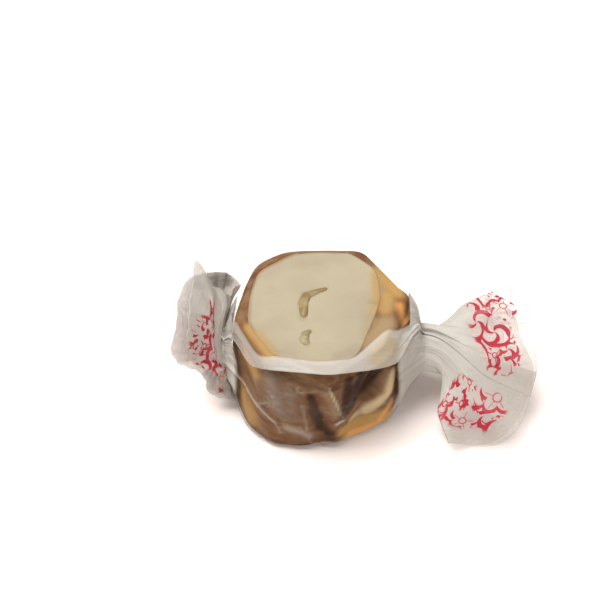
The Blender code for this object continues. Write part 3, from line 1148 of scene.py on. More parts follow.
    def build_jacket(self, finish: Material) -> Piece:
        """Model the caramel jacket from a ring, drawn out to the drum's section.

        Args:
            finish: its material.

        Returns:
            The jacket.
        """
        side, face, wall, foot = 44, 14, 4, 8
        face_end, wall_end = side + face, side + face + wall
        rings = wall_end + foot
        bpy.ops.mesh.primitive_torus_add(
            major_segments=self.round_segments, minor_segments=rings, major_radius=1, minor_radius=0.25
        )
        piece = bpy.context.object
        start = corners_of(piece)
        angle = np.arctan2(start[:, 1], start[:, 0])
        around = np.arctan2(start[:, 2], np.hypot(start[:, 0], start[:, 1]) - 1) % math.tau
        ring = np.round(around / math.tau * rings) % rings
        hole = self.core.radius(angle) - self.overlap
        climb = np.clip(ring / side, 0, 1)
        height = self.height * (1 - np.cos(climb * math.pi)) / 2
        outer = self.jacket_side(angle, height)
        inward = smooth((ring - side) / face)
        side_top = self.jacket_side(angle, np.full(angle.shape, self.height))
        inner_top = (1 - inward) * side_top + inward * hole
        down = np.clip((ring - face_end) / wall, 0, 1)
        outward = np.clip((ring - wall_end) / foot, 0, 1)
        side_foot = self.jacket_side(angle, np.zeros(angle.shape))
        inner_foot = (1 - outward) * hole + outward * side_foot
        parts = [ring <= side, ring <= face_end, ring <= wall_end]
        radius = np.maximum(np.select(parts, [outer, inner_top, hole], inner_foot), hole)
        x, y = radius * np.cos(angle), radius * np.sin(angle)
        cut = self.face_height(x, y) - self.seam_drop * inward
        levels = [np.minimum(self.floor + height, cut), cut, cut + (self.floor - cut) * down]
        z = np.select(parts, levels, self.floor)
        set_corners(piece, self.swollen(np.stack((x, y, z), axis=1)))
        places = corners_of(piece)
        around = unrolled(places)
        for tone, (on_face, on_side) in self.jacket_tones().items():
            share = painted(on_side, around)
            if on_face:
                share = np.maximum(share, painted(on_face, places))
            set_value(piece, tone.value, share)
        return finished(piece, "jacket_caramel", [finish])

    def jacket_tones(self) -> dict[Tone, tuple[tuple[Stroke, ...], tuple[Stroke, ...]]]:
        """Place the jacket's tones.

        Returns:
            The strokes of each tone, on the face and on the unrolled side.
        """
        return {
            Tone.TAN: (
                face_strokes(
                    (9.7, -2.7, 16, 7.5, -6.7, 16, 2.2, 0.9),
                    (8.6, 8.0, 16, 10.0, 1.0, 16, 1.6, 0.7),
                    (-12.0, 0.0, 16, -10.2, 6.0, 16, 0.7, 0.25),
                ),
                side_strokes(
                    (-88, 14.5, -79, 7.8, 0.9, 0.5),
                    (-85, 14.6, -76, 7.4, 0.3, 0.7),
                    (-150, 9.5, -136, 7.5, 1.6, 0.3),
                    (60, 13.0, 75, 4.0, 2.0, 0.5),
                    (140, 12.0, 125, 4.0, 2.0, 0.4),
                ),
            ),
            # Light tan on the side, partly painted highlight on its ridges and at its bottom right
            Tone.PALE_AND_HIGHLIGHT: (
                (),
                side_strokes(
                    (-33, 10.4, -38, 7.8, 1.2, 0.95),
                    (-38, 7.6, -56, 5.2, 0.9, 0.9),
                    (-56, 5.2, -68, 4.7, 0.6, 0.7),
                    (-85, 14.6, -76, 7.6, 0.22, 0.7),
                    (-82, 12.4, -77, 8.0, 0.2, 0.5),
                    (-68, 1.2, -38, 1.6, 1.2, 0.95),
                ),
            ),
            Tone.AMBER: (
                face_strokes(
                    (-10.4, -3.3, 16, -7.2, -8.8, 16, 1.2, 0.9),
                    (9.6, 8.6, 16, 11.8, 4.0, 16, 1.7, 0.9),
                    (10.4, 3.4, 16, 9.6, 0.2, 16, 1.3, 0.8),
                ),
                side_strokes(
                    (-151, 13.6, -138, 12.6, 1.5, 1.0),
                    (-156, 7.0, -138, 3.4, 2.1, 0.7),
                    (-74, 3.4, -40, 3.6, 1.2, 0.95),
                    (-72, 1.4, -36, 1.8, 1.4, 0.6),
                    (-112, 5.6, -98, 4.6, 1.0, 0.35),
                    (30, 12.0, 50, 5.0, 1.8, 0.5),
                    (100, 5.0, 120, 3.0, 1.8, 0.5),
                ),
            ),
            # Orange caramel on the face's lumps; on the side, painted glow of light through the caramel at
            # the lower right
            Tone.GLOW: (
                face_strokes(
                    (11.5, 6.2, 15.6, 12.2, 4.2, 15.4, 0.8, 0.6),
                    (12.0, 1.2, 16.0, 12.8, -1.4, 15.6, 1.1, 0.62),
                ),
                side_strokes(
                    (-45, 2.7, -35, 4.2, 0.9, 1.0),
                    (-68, 1.8, -44, 1.8, 1.1, 0.65),
                    (-150, 4.6, -136, 2.2, 1.2, 0.25),
                ),
            ),
            # Dark lines on the face's rim; on the side, painted shade in the deep fold, below the paper's
            # loose edge and along the foot
            Tone.DARK: (
                face_strokes(
                    (-12.6, 1.0, 15.7, -8.7, 10.7, 15.7, 0.5, 0.6),
                    (-8.2, 11.2, 15.9, 6.4, 12.2, 15.9, 0.4, 0.55),
                    (10.9, 1.5, 16.1, 10.7, -2.0, 16.1, 0.25, 0.45),
                    (11.0, -2.2, 16.0, 6.2, -8.6, 15.8, 0.35, 0.35),
                ),
                side_strokes(
                    (-71, 14.6, -74, 7.6, 1.1, 1.0),
                    (-61, 14.4, -71, 8.2, 1.6, 1.0),
                    (-51, 13.6, -65, 8.4, 1.6, 1.0),
                    (-43, 13.0, -56, 9.0, 1.2, 1.0),
                    (-96, 12.0, -90, 4.6, 1.1, 0.9),
                    (-90, 6.0, -84, 3.6, 1.2, 0.7),
                    (-126, 14.6, -68, 14.2, 0.9, 0.55),
                    (-108, 12.6, -100, 8.0, 1.4, 0.35),
                    (-150, 0.9, -80, 1.6, 1.0, 0.5),
                    (40, 10.0, 62, 6.0, 1.0, 0.5),
                    (120, 9.0, 112, 4.0, 0.9, 0.4),
                ),
            ),
        }

    def build_streak(self, name: str, line: tuple[Place, ...], finish: Material) -> Piece:
        """Model a streak from a disc, drawn to its outline and extruded through the core.

        Args:
            name: the streak's name.
            line: its middle line in millimetres, with a half width at each of its points.
            finish: its material.

        Returns:
            The streak.
        """
        # Points round the streak, the step along its line that gives its direction, and how blunt it ends
        count, step, bluntness = 72, 0.2, 2.2
        bpy.ops.object.select_all(action="DESELECT")
        bpy.ops.mesh.primitive_circle_add(vertices=count, radius=1, fill_type="NGON")
        piece = bpy.context.object
        start = corners_of(piece)
        knots = np.array(line) * MM
        along = np.interp(start[:, 1], (-1, 1), (len(line) - 1, 0))

        def spine(at: Values) -> Values:
            """Find places and half widths along the line."""
            return np.stack([np.interp(at, range(len(line)), knots[:, axis]) for axis in range(3)], axis=1)

        middle = spine(along)
        run = (spine(along + step) - spine(along - step))[:, :2]
        run /= np.linalg.norm(run, axis=1)[:, None]
        aside = np.stack((-run[:, 1], run[:, 0]), axis=1)
        out = np.sign(start[:, 0]) * np.minimum(np.abs(start[:, 0]) * bluntness, 1)
        edge = middle[:, :2] + aside * ((middle[:, 2] + self.streak_growth) * out)[:, None]
        sunk = self.floor + self.height - self.streak_drop
        set_corners(piece, self.swollen(np.column_stack((edge, np.full(count, sunk)))))
        bpy.ops.object.mode_set(mode="EDIT")
        bpy.ops.mesh.select_all(action="SELECT")
        bpy.ops.mesh.extrude_region_move(TRANSFORM_OT_translate={"value": (0, 0, self.floor - sunk)})
        bpy.ops.object.mode_set(mode="OBJECT")
        return finished(piece, name, [finish])


@dataclass(frozen=True)
class Fan:
    """One end of the sheet: its gathered neck, and the fan that spreads from it.

    Angles are in degrees. The fan's face is turned by its heading towards the front, lifted by its
    rise, and tipped by its roll, which brings its back edge up.
    """

    side: int  # 1 at +X and -1 at -X
    neck: float  # distance of the neck from the origin
    half_width: float  # half the neck's section towards the back
    half_height: float  # half its section upwards
    twist: float  # turn of the sheet through the neck
    puff: float  # how far the loose flap stands out above the neck
    heading: float  # turn of the fan towards the front
    rise: float  # how much it is lifted
    roll: float  # how much it is tipped
    lean: float  # direction of its mean ray
    spread: float  # from the mean ray to either edge
    # Length of the upper layer's rays in millimetres, from the front one to the back one
    reach: tuple[float, ...]
    far_reach: tuple[float, ...]  # the same for the lower layer
    overhang: float  # how much further the upper layer goes
    mouth: float  # half the gap at the open edge
    ruffle: float  # depth of the waves
    printed: tuple[Stroke, ...]  # where the print lies, on the flat fan
    far_print: float  # strength of the print on the lower layer
    shaded: tuple[Stroke, ...]  # where the inside of the lower layer is in shade
    white: tuple[float, float]  # opacity at the neck and at the open edge

    def axes(self) -> tuple[Values, Values, Values]:
        """Find the fan's directions.

        Returns:
            Its outward axis, its width axis towards the back, and its face's normal.
        """
        heading, rise, roll = (math.radians(angle) for angle in (self.heading, self.rise, self.roll))
        ahead, aside, run, lift = math.cos(heading), math.sin(heading), math.cos(rise), math.sin(rise)
        out = np.array((self.side * ahead * run, -aside * run, lift))
        level = np.array((self.side * aside, ahead, 0))
        face = np.array((-self.side * ahead * lift, aside * lift, run))
        width = level * math.cos(roll) + face * math.sin(roll)
        return out, width, face * math.cos(roll) - level * math.sin(roll)

    def ring(self, bearing: Values) -> Values:
        """Turn bearings into turns round the flattened fan, 0 at its back edge."""
        return wrapped(bearing - math.radians(self.roll + self.twist))

    def ray_length(self, across: Values, near: Values) -> Values:
        """Measure the fan's reach.

        Args:
            across: places across it, from -1 at its front ray to 1 at its back ray.
            near: which of them are on its upper layer.

        Returns:
            The reach at each place.
        """
        lengths = np.array((self.far_reach, self.reach)) * MM
        place = (across + 1) / 2 * (lengths.shape[1] - 1)
        first = np.clip(place.astype(int), 0, lengths.shape[1] - 2)
        share, layer = smooth(place - first), near.astype(int)
        return lengths[layer, first] * (1 - share) + lengths[layer, first + 1] * share

    def section(self, bearing: Values) -> Values:
        """Measure the gathered neck's radius at a bearing."""
        return np.hypot(self.half_width * np.cos(bearing), self.half_height * np.sin(bearing))


@dataclass(frozen=True)
class Wrapper:
    """The sheet of waxed paper, rolled, gathered and spread. Angles are in degrees."""

    candy: Candy = Candy()
    right: Fan = Fan(
        side=1,
        neck=15.4 * MM,
        half_width=3.5 * MM,
        half_height=2.8 * MM,
        twist=-34,
        puff=1.35 * MM,
        heading=0,
        rise=0,
        roll=28,
        lean=-18,
        spread=58,
        reach=(15.6, 19.2, 17.6, 16.2, 14.2),
        far_reach=(15.6, 18.6, 18.0, 15.6, 14.2),
        overhang=0.3 * MM,
        mouth=1.5 * MM,
        ruffle=0.9 * MM,
        printed=fan_strokes(
            (9.4, 6.6, 12.6, 6.4, 3.0), (10.4, 2.0, 12.2, -1.8, 3.3), (5.2, -8.4, 9.4, -9.6, 3.4)
        ),
        far_print=0.5,
        shaded=fan_strokes((4.0, -6.0, 5.0, -4.0, 1.0, 0.2)),
        white=(0.9, 0.4),
    )
    left: Fan = Fan(
        side=-1,
        neck=14.3 * MM,
        half_width=4.0 * MM,
        half_height=3.1 * MM,
        twist=75,
        puff=0.4 * MM,
        heading=48,
        rise=22,
        roll=60,
        lean=18,
        spread=112,
        reach=(
            8.8, 8.1, 7.4, 7.0, 6.6, 6.3, 6.0, 5.9, 5.8, 7.0, 8.2, 9.4, 10.6,
            11.1, 11.6, 11.7, 11.8, 12.4, 14.8, 9.4, 8.0, 7.6, 8.6, 9.6, 10.4,
        ),
        far_reach=(
            8.8, 8.4, 8.0, 7.6, 7.2, 6.9, 6.6, 6.6, 6.6, 7.7, 8.8, 9.7, 10.6,
            10.9, 11.2, 11.4, 11.6, 11.9, 12.4, 12.2, 11.8, 11.5, 11.2, 10.8, 10.4,
        ),
        overhang=0.4 * MM,
        mouth=1.8 * MM,
        ruffle=0.8 * MM,
        printed=fan_strokes((-4.8, -5.8, -7.0, 3.6, 2.9), (-4.6, 2.6, -2.4, 5.8, 1.5)),
        far_print=0.1,
        shaded=fan_strokes((-1.6, 10.0, 3.2, 9.0, 2.0, 0.66), (1.0, 7.6, 3.6, 6.4, 1.2, 0.3)),
        white=(0.92, 0.72),
    )
    # Outline at which the loose layer leaves the face, along the front rim
    cling: Outline = Outline(
        ((90, 16.0), (-41, 10.2), (-83, 10.7), (-103, 10.8), (-154, 12.1), (178, 12.5), (20, 16.0))
    )
    # Patches of the front with the most fine creases
    crinkled: tuple[Stroke, ...] = side_strokes(
        (-128, 13.4, -104, 6.0, 2.4), (-80, 6.4, -74, 7.0, 0.8), (-92, 2.2, -82, 1.6, 0.8)
    )
    solid_paper: float = 0.2 * MM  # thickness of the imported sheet
    thickness: float = 0.06 * MM
    gap: float = 0.4 * MM
    side_slack: float = 0.25 * MM  # how much wider the gap is at the side
    layer_gap: float = 0.3 * MM
    # Bearing of the loose edge round the axis through the necks, from +Y over +Z
    edge_bearing: float = 146
    overlap: float = 18  # how far the sheet goes past a whole turn
    lift_blend: float = 30  # turn over which the upper layer comes down on the candy
    flare_angle: float = 13  # turn over which the loose edge curls up
    flare: float = 0.7 * MM
    # Distance from the middle at which the sheet's edges turn up, left and right
    seam_starts: tuple[float, float] = (10 * MM, 11 * MM)
    seam_runs: tuple[float, float] = (4.3 * MM, 6 * MM)
    seam_turns: tuple[float, float] = (28, 60)
    flutes: int = 7
    flute_depth: float = 0.45 * MM
    flute_ridge: float = 0.25
    flute_run: float = 4.5 * MM  # how far the flutes run over the candy
    creases_round: int = 22  # sharp creases among the flutes
    gather_count: int = 15
    gather_depth: float = 0.4 * MM  # depth of the creases that run from the necks over the loose paper
    gather_white: float = 0.12
    taut_steps: int = 75
    fan_ruffles: float = 3.5
    ruffle_growth: float = 1.4
    fold_closing: float = 3  # how sharp a fan's side folds are
    fan_opening: float = 1.6  # how soon a fan is spread
    puff_start: float = 2.4 * MM  # where the loose flap starts, from the neck
    puff_rise: float = 1.8 * MM
    puff_fall: float = 0.4 * MM
    puff_bearing: float = 54
    puff_narrow: float = 2.5
    joined: float = 0.25  # share of the lift between layers that is left at the necks and on the fans
    loose_stand: float = 1.6 * MM  # distance from the candy from which the paper is loose
    clear: float = 0.025  # opacity where the paper clings
    white: float = 0.9  # opacity where it stands off
    whitest: float = 0.97
    shade_white: float = 0.93  # opacity of a fan's shaded parts
    fan_creased: float = 0.6
    fan_length: float = 16 * MM  # a fan's length on the map of the creases
    neck_radius: float = 7 * MM  # a neck's radius on the same map
    print_shift: float = 37 * MM  # how far off in the pattern the lower layer's print is read
    # Distance from the candy from which the paper turns white, and over which it does, in millimetres
    white_start: float = 0.6
    white_run: float = 1.2
    # Turn from the loose edge at which the band along the front rim ends, and over which it does
    band_end: float = 24
    band_run: float = 10
    band_width: float = 0.45  # distance over which the band turns white, in millimetres
    # How far the paper is raised, in millimetres: everywhere, by creases where it clings and where
    # it stands off, and along the band
    raised: float = 0.03
    crease_depth: float = 0.05
    loose_depth: float = 0.2
    band_depth: float = 0.22
    least_height: float = 0.07 * MM  # how far its lowest points stay above the floor
    columns: int = 268
    body_rows: int = 104
    fan_rows: int = 37
    seed: int = 11

    def axis_height(self) -> float:
        """Find the height of the axis through the necks."""
        return self.candy.floor + self.candy.height / 2

    def candy_reach(self, x: Values, bearing: Values) -> Values:
        """Measure from the twist axis to the paper that lies on the candy.

        Args:
            x: places along the axis.
            bearing: bearings round it, from +Y over +Z.

        Returns:
            The distance at each pair, 0 where the candy is missed.
        """
        candy, clear = self.candy, self.solid_paper + self.gap
        across, up = np.cos(bearing), np.sin(bearing)

        def inside(distance: Values) -> Values:
            """Tell which distances are still within the paper's form."""
            y, height = across * distance, up * distance + candy.height / 2
            level = np.clip(height, 0, candy.height)
            side = candy.paper_side(np.arctan2(y, x), level) + clear + self.side_slack
            return (height >= -clear) & (height <= candy.height + clear) & (np.hypot(x, y) <= side)

        low = np.zeros(x.shape)
        high = np.full(x.shape, candy.height + clear)
        met = inside(low)
        for _ in range(18):
            middle = (low + high) / 2
            within = inside(middle)
            low, high = np.where(within, middle, low), np.where(within, high, middle)
        return np.where(met, low, 0)

    def taut_lines(self, bearings: Values) -> tuple[list[Values], Values, Values]:
        """Draw the paper taut over the candy from neck to neck.

        Args:
            bearings: one bearing for each line.

        Returns:
            The corners of each line, the places along the axis, and the candy's own reach at each.
        """
        start, end = -self.left.neck, self.right.neck
        along = np.linspace(start, end, self.taut_steps + 1)
        x, bearing = np.meshgrid(along, bearings)
        reach = self.candy_reach(x, bearing)
        lines = []
        for row, turn in zip(reach, bearings):
            heights = row.copy()
            heights[0], heights[-1] = self.left.section(turn), self.right.section(turn)
            corners: list[tuple[float, float]] = []
            for place in zip(along, heights):
                while len(corners) > 1:
                    (x0, r0), (x1, r1) = corners[-2:]
                    if (r1 - r0) * (place[0] - x0) > (place[1] - r0) * (x1 - x0):
                        break
                    corners.pop()
                corners.append(place)
            lines.append(np.array(corners))
        return lines, along, reach

    def layer_lift(self, turned: Values) -> Values:
        """Measure how far the sheet stands off the layer below it."""
        past = (turned - math.radians(self.overlap)) / math.radians(self.lift_blend)
        return (self.solid_paper + self.layer_gap) * (1 - smooth(past))

    def edge_flare(self, turned: Values, share: Values) -> Values:
        """Measure how far the loose edge curls up, at a share of the way between the necks."""
        near = np.maximum(1 - turned / math.radians(self.flare_angle), 0)
        return self.flare * near**2 * np.sin(math.pi * np.clip(share, 0, 1)) ** 0.5

    def seam_turn(self, x: Values, turned: Values) -> Values:
        """Measure how far the sheet's two edges turn up over the candy as they near the necks.

        Args:
            x: places along the axis.
            turned: turns from the loose edge.

        Returns:
            The turn of each place, in radians.
        """
        quarter = math.pi / 2
        ends = 1 - smooth(turned / quarter) + smooth((turned - math.radians(270 + self.overlap)) / quarter)
        turns = np.zeros(x.shape)
        for way, start, run, turn in zip((-x, x), self.seam_starts, self.seam_runs, self.seam_turns):
            turns += turn * smooth((way - start) / run)
        return np.radians(turns) * ends

    def taut_radius(self, x: Values, bearing: Values) -> tuple[Values, Values]:
        """Measure the taut paper and the candy below it.

        Args:
            x: places along the axis.
            bearing: bearings round it.

        Returns:
            The paper's and the candy's distance from the axis at each pair.
        """
        turns = np.radians(np.arange(360))
        lines, along, reach = self.taut_lines(turns)
        taut = np.array([np.interp(along, corners[:, 0], corners[:, 1]) for corners in lines])
        step = np.clip((x - along[0]) / (along[1] - along[0]), 0, len(along) - 1.001)
        turn = np.degrees(bearing) % 360
        column, row = step.astype(int), turn.astype(int) % 360
        past, over = step - column, turn - turn.astype(int)

        def sampled(table: Values) -> Values:
            """Read a table between its steps."""
            near = table[row, column] * (1 - past) + table[row, column + 1] * past
            far = table[(row + 1) % 360, column] * (1 - past) + table[(row + 1) % 360, column + 1] * past
            return near * (1 - over) + far * over

        return sampled(taut), sampled(reach)

    def gathers(self, bearing: Values) -> Values:
        """Measure the creases that run from the necks over the loose paper.

        Args:
            bearing: bearings round the axis.

        Returns:
            The height of the creases, between 0 and 1.
        """
        chance = np.random.default_rng(self.seed + 3)
        total = np.zeros(bearing.shape)
        for _ in range(self.gather_count):
            middle = chance.uniform(-math.pi, math.pi)
            half, height = chance.uniform(0.09, 0.25), chance.uniform(0.2, 1)
            total = np.maximum(total, height * (1 - np.abs(wrapped(bearing - middle)) / half))
        return total

    def pleats(self, turned: Values) -> Values:
        """Measure the gathered folds of the necks, uneven and sharp at their ridges.

        Args:
            turned: turns from the loose edge.

        Returns:
            The folds' height at each turn.
        """
        wave = np.cos(self.flutes * turned) + self.flute_ridge * np.cos(3 * self.flutes * turned)
        chance = np.random.default_rng(self.seed)
        sharp = np.zeros(turned.shape)
        whole, mean_height = math.tau * 1.04, 0.1 * MM
        for _ in range(self.creases_round):
            middle, half = chance.uniform(0, whole), chance.uniform(0.06, 0.16)
            height = chance.uniform(0.12, 0.34) * MM
            sharp += height * np.maximum(1 - np.abs(turned - middle) / half, 0)
        return self.flute_depth * wave + sharp - mean_height

    def crumple(self, along: Values, around: Values, seed: int, coarse: float, folds: int) -> Values:
        """Crease the paper along crossing lines.

        Args:
            along: places along the sheet, in metres.
            around: places round it.
            seed: which creases.
            coarse: mean distance between creases.
            folds: how many sets of creases.

        Returns:
            The height of the creases, within about 1 of 0.
        """
        chance = np.random.default_rng(seed)
        total = np.zeros(along.shape)
        # How far a crease wanders, on which length, and the lengths of the patches that it shows in
        wander, wander_length, patch_aside, patch_ahead = 0.22, 1.1, 1.7, 2.3
        for _ in range(folds):
            turn, phase, shift = (chance.uniform(0, most) for most in (math.pi, 1, math.tau))
            length = coarse * chance.uniform(0.7, 1.6)
            ahead = (along * math.cos(turn) + around * math.sin(turn)) / length
            aside = (around * math.cos(turn) - along * math.sin(turn)) / length
            place = ahead + phase + wander * np.sin(aside / wander_length + shift)
            ridge = 1 - 4 * np.abs(place - np.round(place))
            patches = np.sin(aside / patch_aside + 2 * shift) * np.cos(ahead / patch_ahead + shift)
            total += ridge * smooth(0.5 + 0.9 * patches)
        return total / folds**0.5

    def body(self, x: Values, bearing: Values, turned: Values, radius: Values) -> Values:
        """Place the paper between the necks.

        Args:
            x: places along the axis.
            bearing: bearings round it.
            turned: turns from the loose edge.
            radius: the taut line's distance from the axis.

        Returns:
            One row of metres for each place.
        """
        places = np.empty((len(x), 3))
        share = (x + self.left.neck) / (self.left.neck + self.right.neck)
        neck = np.where(x > 0, self.right.neck, self.left.neck)
        puff = np.where(x > 0, self.right.puff, self.left.puff)
        back = neck - np.abs(x)
        near = smooth(1 - back / self.flute_run)
        bump = smooth((self.puff_start - back) / self.puff_rise) * smooth(back / self.puff_fall)
        round_it = np.maximum(np.cos(bearing - math.radians(self.puff_bearing)), 0) ** self.puff_narrow
        radius = radius + self.layer_lift(turned) * (1 - (1 - self.joined) * near)
        radius = radius + self.edge_flare(turned, share) + near * self.pleats(turned)
        radius += puff * bump * round_it
        places[:, 0] = x
        places[:, 1] = radius * np.cos(bearing)
        places[:, 2] = self.axis_height() + radius * np.sin(bearing)
        return places

    def spread(self, fan: Fan, share: Values, bearing: Values, turned: Values) -> Values:
        """Place the paper of a fan.

        Args:
            fan: the fan.
            share: share of the way from its neck to its open edge.
            bearing: bearings round the neck.
            turned: turns from the loose edge.

        Returns:
            One row of metres for each place, then two columns for its place on the flat fan.
        """
        out, width, normal = fan.axes()
        opened = smooth(share * self.fan_opening)
        twist = math.radians(fan.twist)
        ring = fan.ring(bearing)
        across = 1 - 2 * np.abs(ring) / math.pi
        ray = np.radians(fan.lean + fan.spread * across)
        length = share * (fan.ray_length(across, ring > 0) + fan.overhang * np.sin(ring))
        neck = np.array((fan.side * fan.neck, 0, self.axis_height()))
        lift = self.layer_lift(turned) * self.joined

        turn = bearing - twist * opened
        root = fan.section(turn) + lift + self.pleats(turned) * (1 - opened)
        pull = np.clip(1 + 1.5 * np.cos(ray), 0, 1)
        gathered = neck + out * (length * pull)[:, None]
        gathered[:, 1] += np.cos(turn) * root
        gathered[:, 2] += np.sin(turn) * root

        above = (fan.mouth * share + fan.half_height * (1 - share)) * np.sin(ring)
        closing = np.minimum(np.abs(np.sin(ring)) * self.fold_closing, 1)
        above += np.copysign(lift * closing, ring)
        above += fan.ruffle * share**self.ruffle_growth * np.sin(self.fan_ruffles * math.pi * across)
        seed, fine_depth, radial_depth = self.seed + fan.side, 0.28 * MM, 0.2 * MM
        fine = self.crumple(length, ray * 9 * MM, seed + 4 * fan.side, coarse=5 * MM, folds=4)
        radial = self.crumple(length * 0.15, ray * 14 * MM, seed + 20, coarse=2.6 * MM, folds=3)
        above += (fine_depth * fine + radial_depth * radial) * smooth(share * 4)
        spread = neck + (out * np.cos(ray)[:, None] + width * np.sin(ray)[:, None]) * length[:, None]
        spread += normal * above[:, None]
        spread += width * (fan.half_width * np.cos(ring) * (1 - share))[:, None]

        places = gathered + (spread - gathered) * opened[:, None]
        lowest = (lift + 2 * self.solid_paper + self.layer_gap) * np.maximum(np.sin(ring), 0)
        places[:, 2] = np.maximum(places[:, 2], lowest)
        flat = np.stack((fan.side * length * np.cos(ray), length * np.sin(ray)), axis=1)
        return np.hstack((places, flat))

    def column_turns(self) -> Values:
        """Space the columns round the sheet, closest at the candy's rims and on the front.

        Returns:
            The turn of each column from the loose edge.
        """
        whole = math.radians(360 + self.overlap)
        steps = 20 * self.columns
        turned = whole * (np.arange(steps) + 0.5) / steps
        bearing = math.radians(self.edge_bearing) - turned
        weight = np.full(steps, 0.8)
        # Bearing, half width and extra weight of each part with closer columns
        rims = ((33, 9, 1.0), (147, 9, 1.4), (-33, 9, 0.8), (-147, 9, 1.0), (178, 34, 1.3))
        for rim, spread, extra in rims:
            away = np.degrees(wrapped(bearing - math.radians(rim))) / spread
            weight += extra * np.exp(-(away**2))
        sums = np.concatenate(((0,), np.cumsum(weight)))
        wanted = np.linspace(0, sums[-1], self.columns + 1)
        return np.interp(wanted, sums, whole * np.arange(steps + 1) / steps)

    def build(self, plain: Material, printed: Material) -> Piece:
        """Model the sheet from a flat grid.

        Args:
            plain: the finish between the fans.
            printed: the finish of the fans.

        Returns:
            The wrapper.
        """
        rows = 2 * self.fan_rows + self.body_rows
        bpy.ops.object.select_all(action="DESELECT")
        bpy.ops.mesh.primitive_grid_add(x_subdivisions=rows, y_subdivisions=self.columns, size=2)
        piece = bpy.context.object
        start = corners_of(piece)
        row = np.round((start[:, 0] + 1) / 2 * rows).astype(int)
        column = np.round((start[:, 1] + 1) / 2 * self.columns).astype(int)
        turned = self.column_turns()[column]

        share = np.clip(2 * (row - self.fan_rows) / self.body_rows - 1, -1, 1)
        middle, half = (self.right.neck - self.left.neck) / 2, (self.right.neck + self.left.neck) / 2
        x = middle + half * (share + np.sin(share * math.pi / 2)) / 2
        bearing = math.radians(self.edge_bearing) - turned - self.seam_turn(x, turned)
        radius, own = self.taut_radius(x, bearing)
        loose = smooth((radius - own) / self.loose_stand)
        radius += self.gather_depth * self.gathers(bearing) * loose
        places = self.body(x, bearing, turned, radius)
        flat = np.zeros((len(x), 2))
        sheet = np.stack((x, turned * self.candy.side_radius), axis=1)
        veil, stain = self.body_veil(places, radius - own, turned)
        veil = np.minimum(veil + self.gather_white * self.gathers(bearing) * loose, self.whitest)
        lift = self.wrinkles(places, x, turned, radius - own)
        places[:, 1] += lift * np.cos(bearing)
        places[:, 2] += lift * np.sin(bearing)
        places[:, 2] = np.maximum(places[:, 2], self.least_height)

        ring_sign, printed_area, shade = np.zeros(len(x)), np.zeros(len(x)), np.zeros(len(x))
        # Finely creased where it is loose, on the side, and most in the patches of the front
        creased = np.maximum(loose, 0.12 + 0.3 * smooth((self.candy.height - places[:, 2]) / (1.2 * MM)))
        creased = np.maximum(creased, painted(self.crinkled, unrolled(places)))
        right_start = self.fan_rows + self.body_rows
        for fan, mine, far in (
            (self.left, row < self.fan_rows, 1 - row / self.fan_rows),
            (self.right, row > right_start, (row - right_start) / self.fan_rows),
        ):
            made = self.spread(fan, far[mine], bearing[mine], turned[mine])
            places[mine], flat[mine] = made[:, :3], made[:, 3:]
            ring = fan.ring(bearing[mine])
            ring_sign[mine] = np.sin(ring)
            sheet[mine] = np.stack((far[mine] * self.fan_length, ring * self.neck_radius), axis=1)
            level = np.pad(made[:, 3:], ((0, 0), (0, 1)))
            printed_area[mine] = smooth((painted(fan.printed, level) - 0.35) / 0.1)
            printed_area[mine] *= np.where(ring > 0, 1, fan.far_print)
            shade[mine] = painted(fan.shaded, level) * (ring < 0)
            creased[mine] = self.fan_creased
            shaded = self.shade_white * smooth(shade[mine] * 2)
            veil[mine] = np.maximum(self.fan_veil(fan, far[mine]), shaded)
            stain[mine] = 0
        set_corners(piece, places)
        # The sheet has two faces, so each of them has the root of the part that shines through
        set_value(piece, "veil", 1 - np.sqrt(1 - np.clip(veil, 0, 0.995)))
        set_value(piece, "stain", stain)
        set_value(piece, "print_area", printed_area)
        set_value(piece, "shade", shade)
        set_value(piece, "creased", creased)
        self.lay_map(piece, "print", flat, np.where(ring_sign < 0, self.print_shift, 0))
        self.lay_map(piece, "sheet", sheet, np.zeros(len(x)))

        piece.data.materials.clear()
        for face in piece.data.polygons:
            rows_of_face = [row[corner] for corner in face.vertices]
            on_left, on_right = max(rows_of_face) <= self.fan_rows, min(rows_of_face) >= right_start
            face.material_index = int(on_left or on_right)
        wall = piece.modifiers.new("paper", "SOLIDIFY")
        wall.thickness = self.thickness
        wall.offset = -1
        bpy.ops.object.modifier_apply(modifier=wall.name)
        piece.name = piece.data.name = "waxed_wrapper"
        bpy.ops.object.shade_smooth()
        for material in (plain, printed):
            piece.data.materials.append(material)
        return piece

    def lay_map(self, piece: Piece, name: str, flat: Values, shift: Values) -> None:
        """Lay the sheet flat for its patterns.

        Args:
            piece: the sheet.
            name: the map's name.
            flat: each point's place on the flat sheet.
            shift: how far each point's face moves aside, where layers share a place.
        """
        layer = piece.data.uv_layers.new(name=name)
        corners = np.empty(len(piece.data.loops), dtype=np.int32)
        piece.data.loops.foreach_get("vertex_index", corners)
        spots = flat[corners]
        spots[:, 1] += np.median(shift[corners].reshape(-1, 4), axis=1).repeat(4)
        layer.data.foreach_set("uv", (spots * MAP_SCALE).astype(np.float32).ravel())

    def band_share(self, places: Values, turned: Values) -> Values:
        """Weigh where the loose layer has left the face, along the front rim.

        Args:
            places: one row of metres for each point.
            turned: turns from the loose edge.

        Returns:
            0 where the paper clings and 1 where it stands off.
        """
        angle = np.arctan2(places[:, 1], places[:, 0])
        beyond = np.hypot(places[:, 0], places[:, 1]) - self.cling.radius(angle)
        outer = 1 - smooth((np.degrees(turned) - self.band_end) / self.band_run)
        return smooth((beyond / MM + 0.1) / self.band_width) * outer * (places[:, 1] < 0)

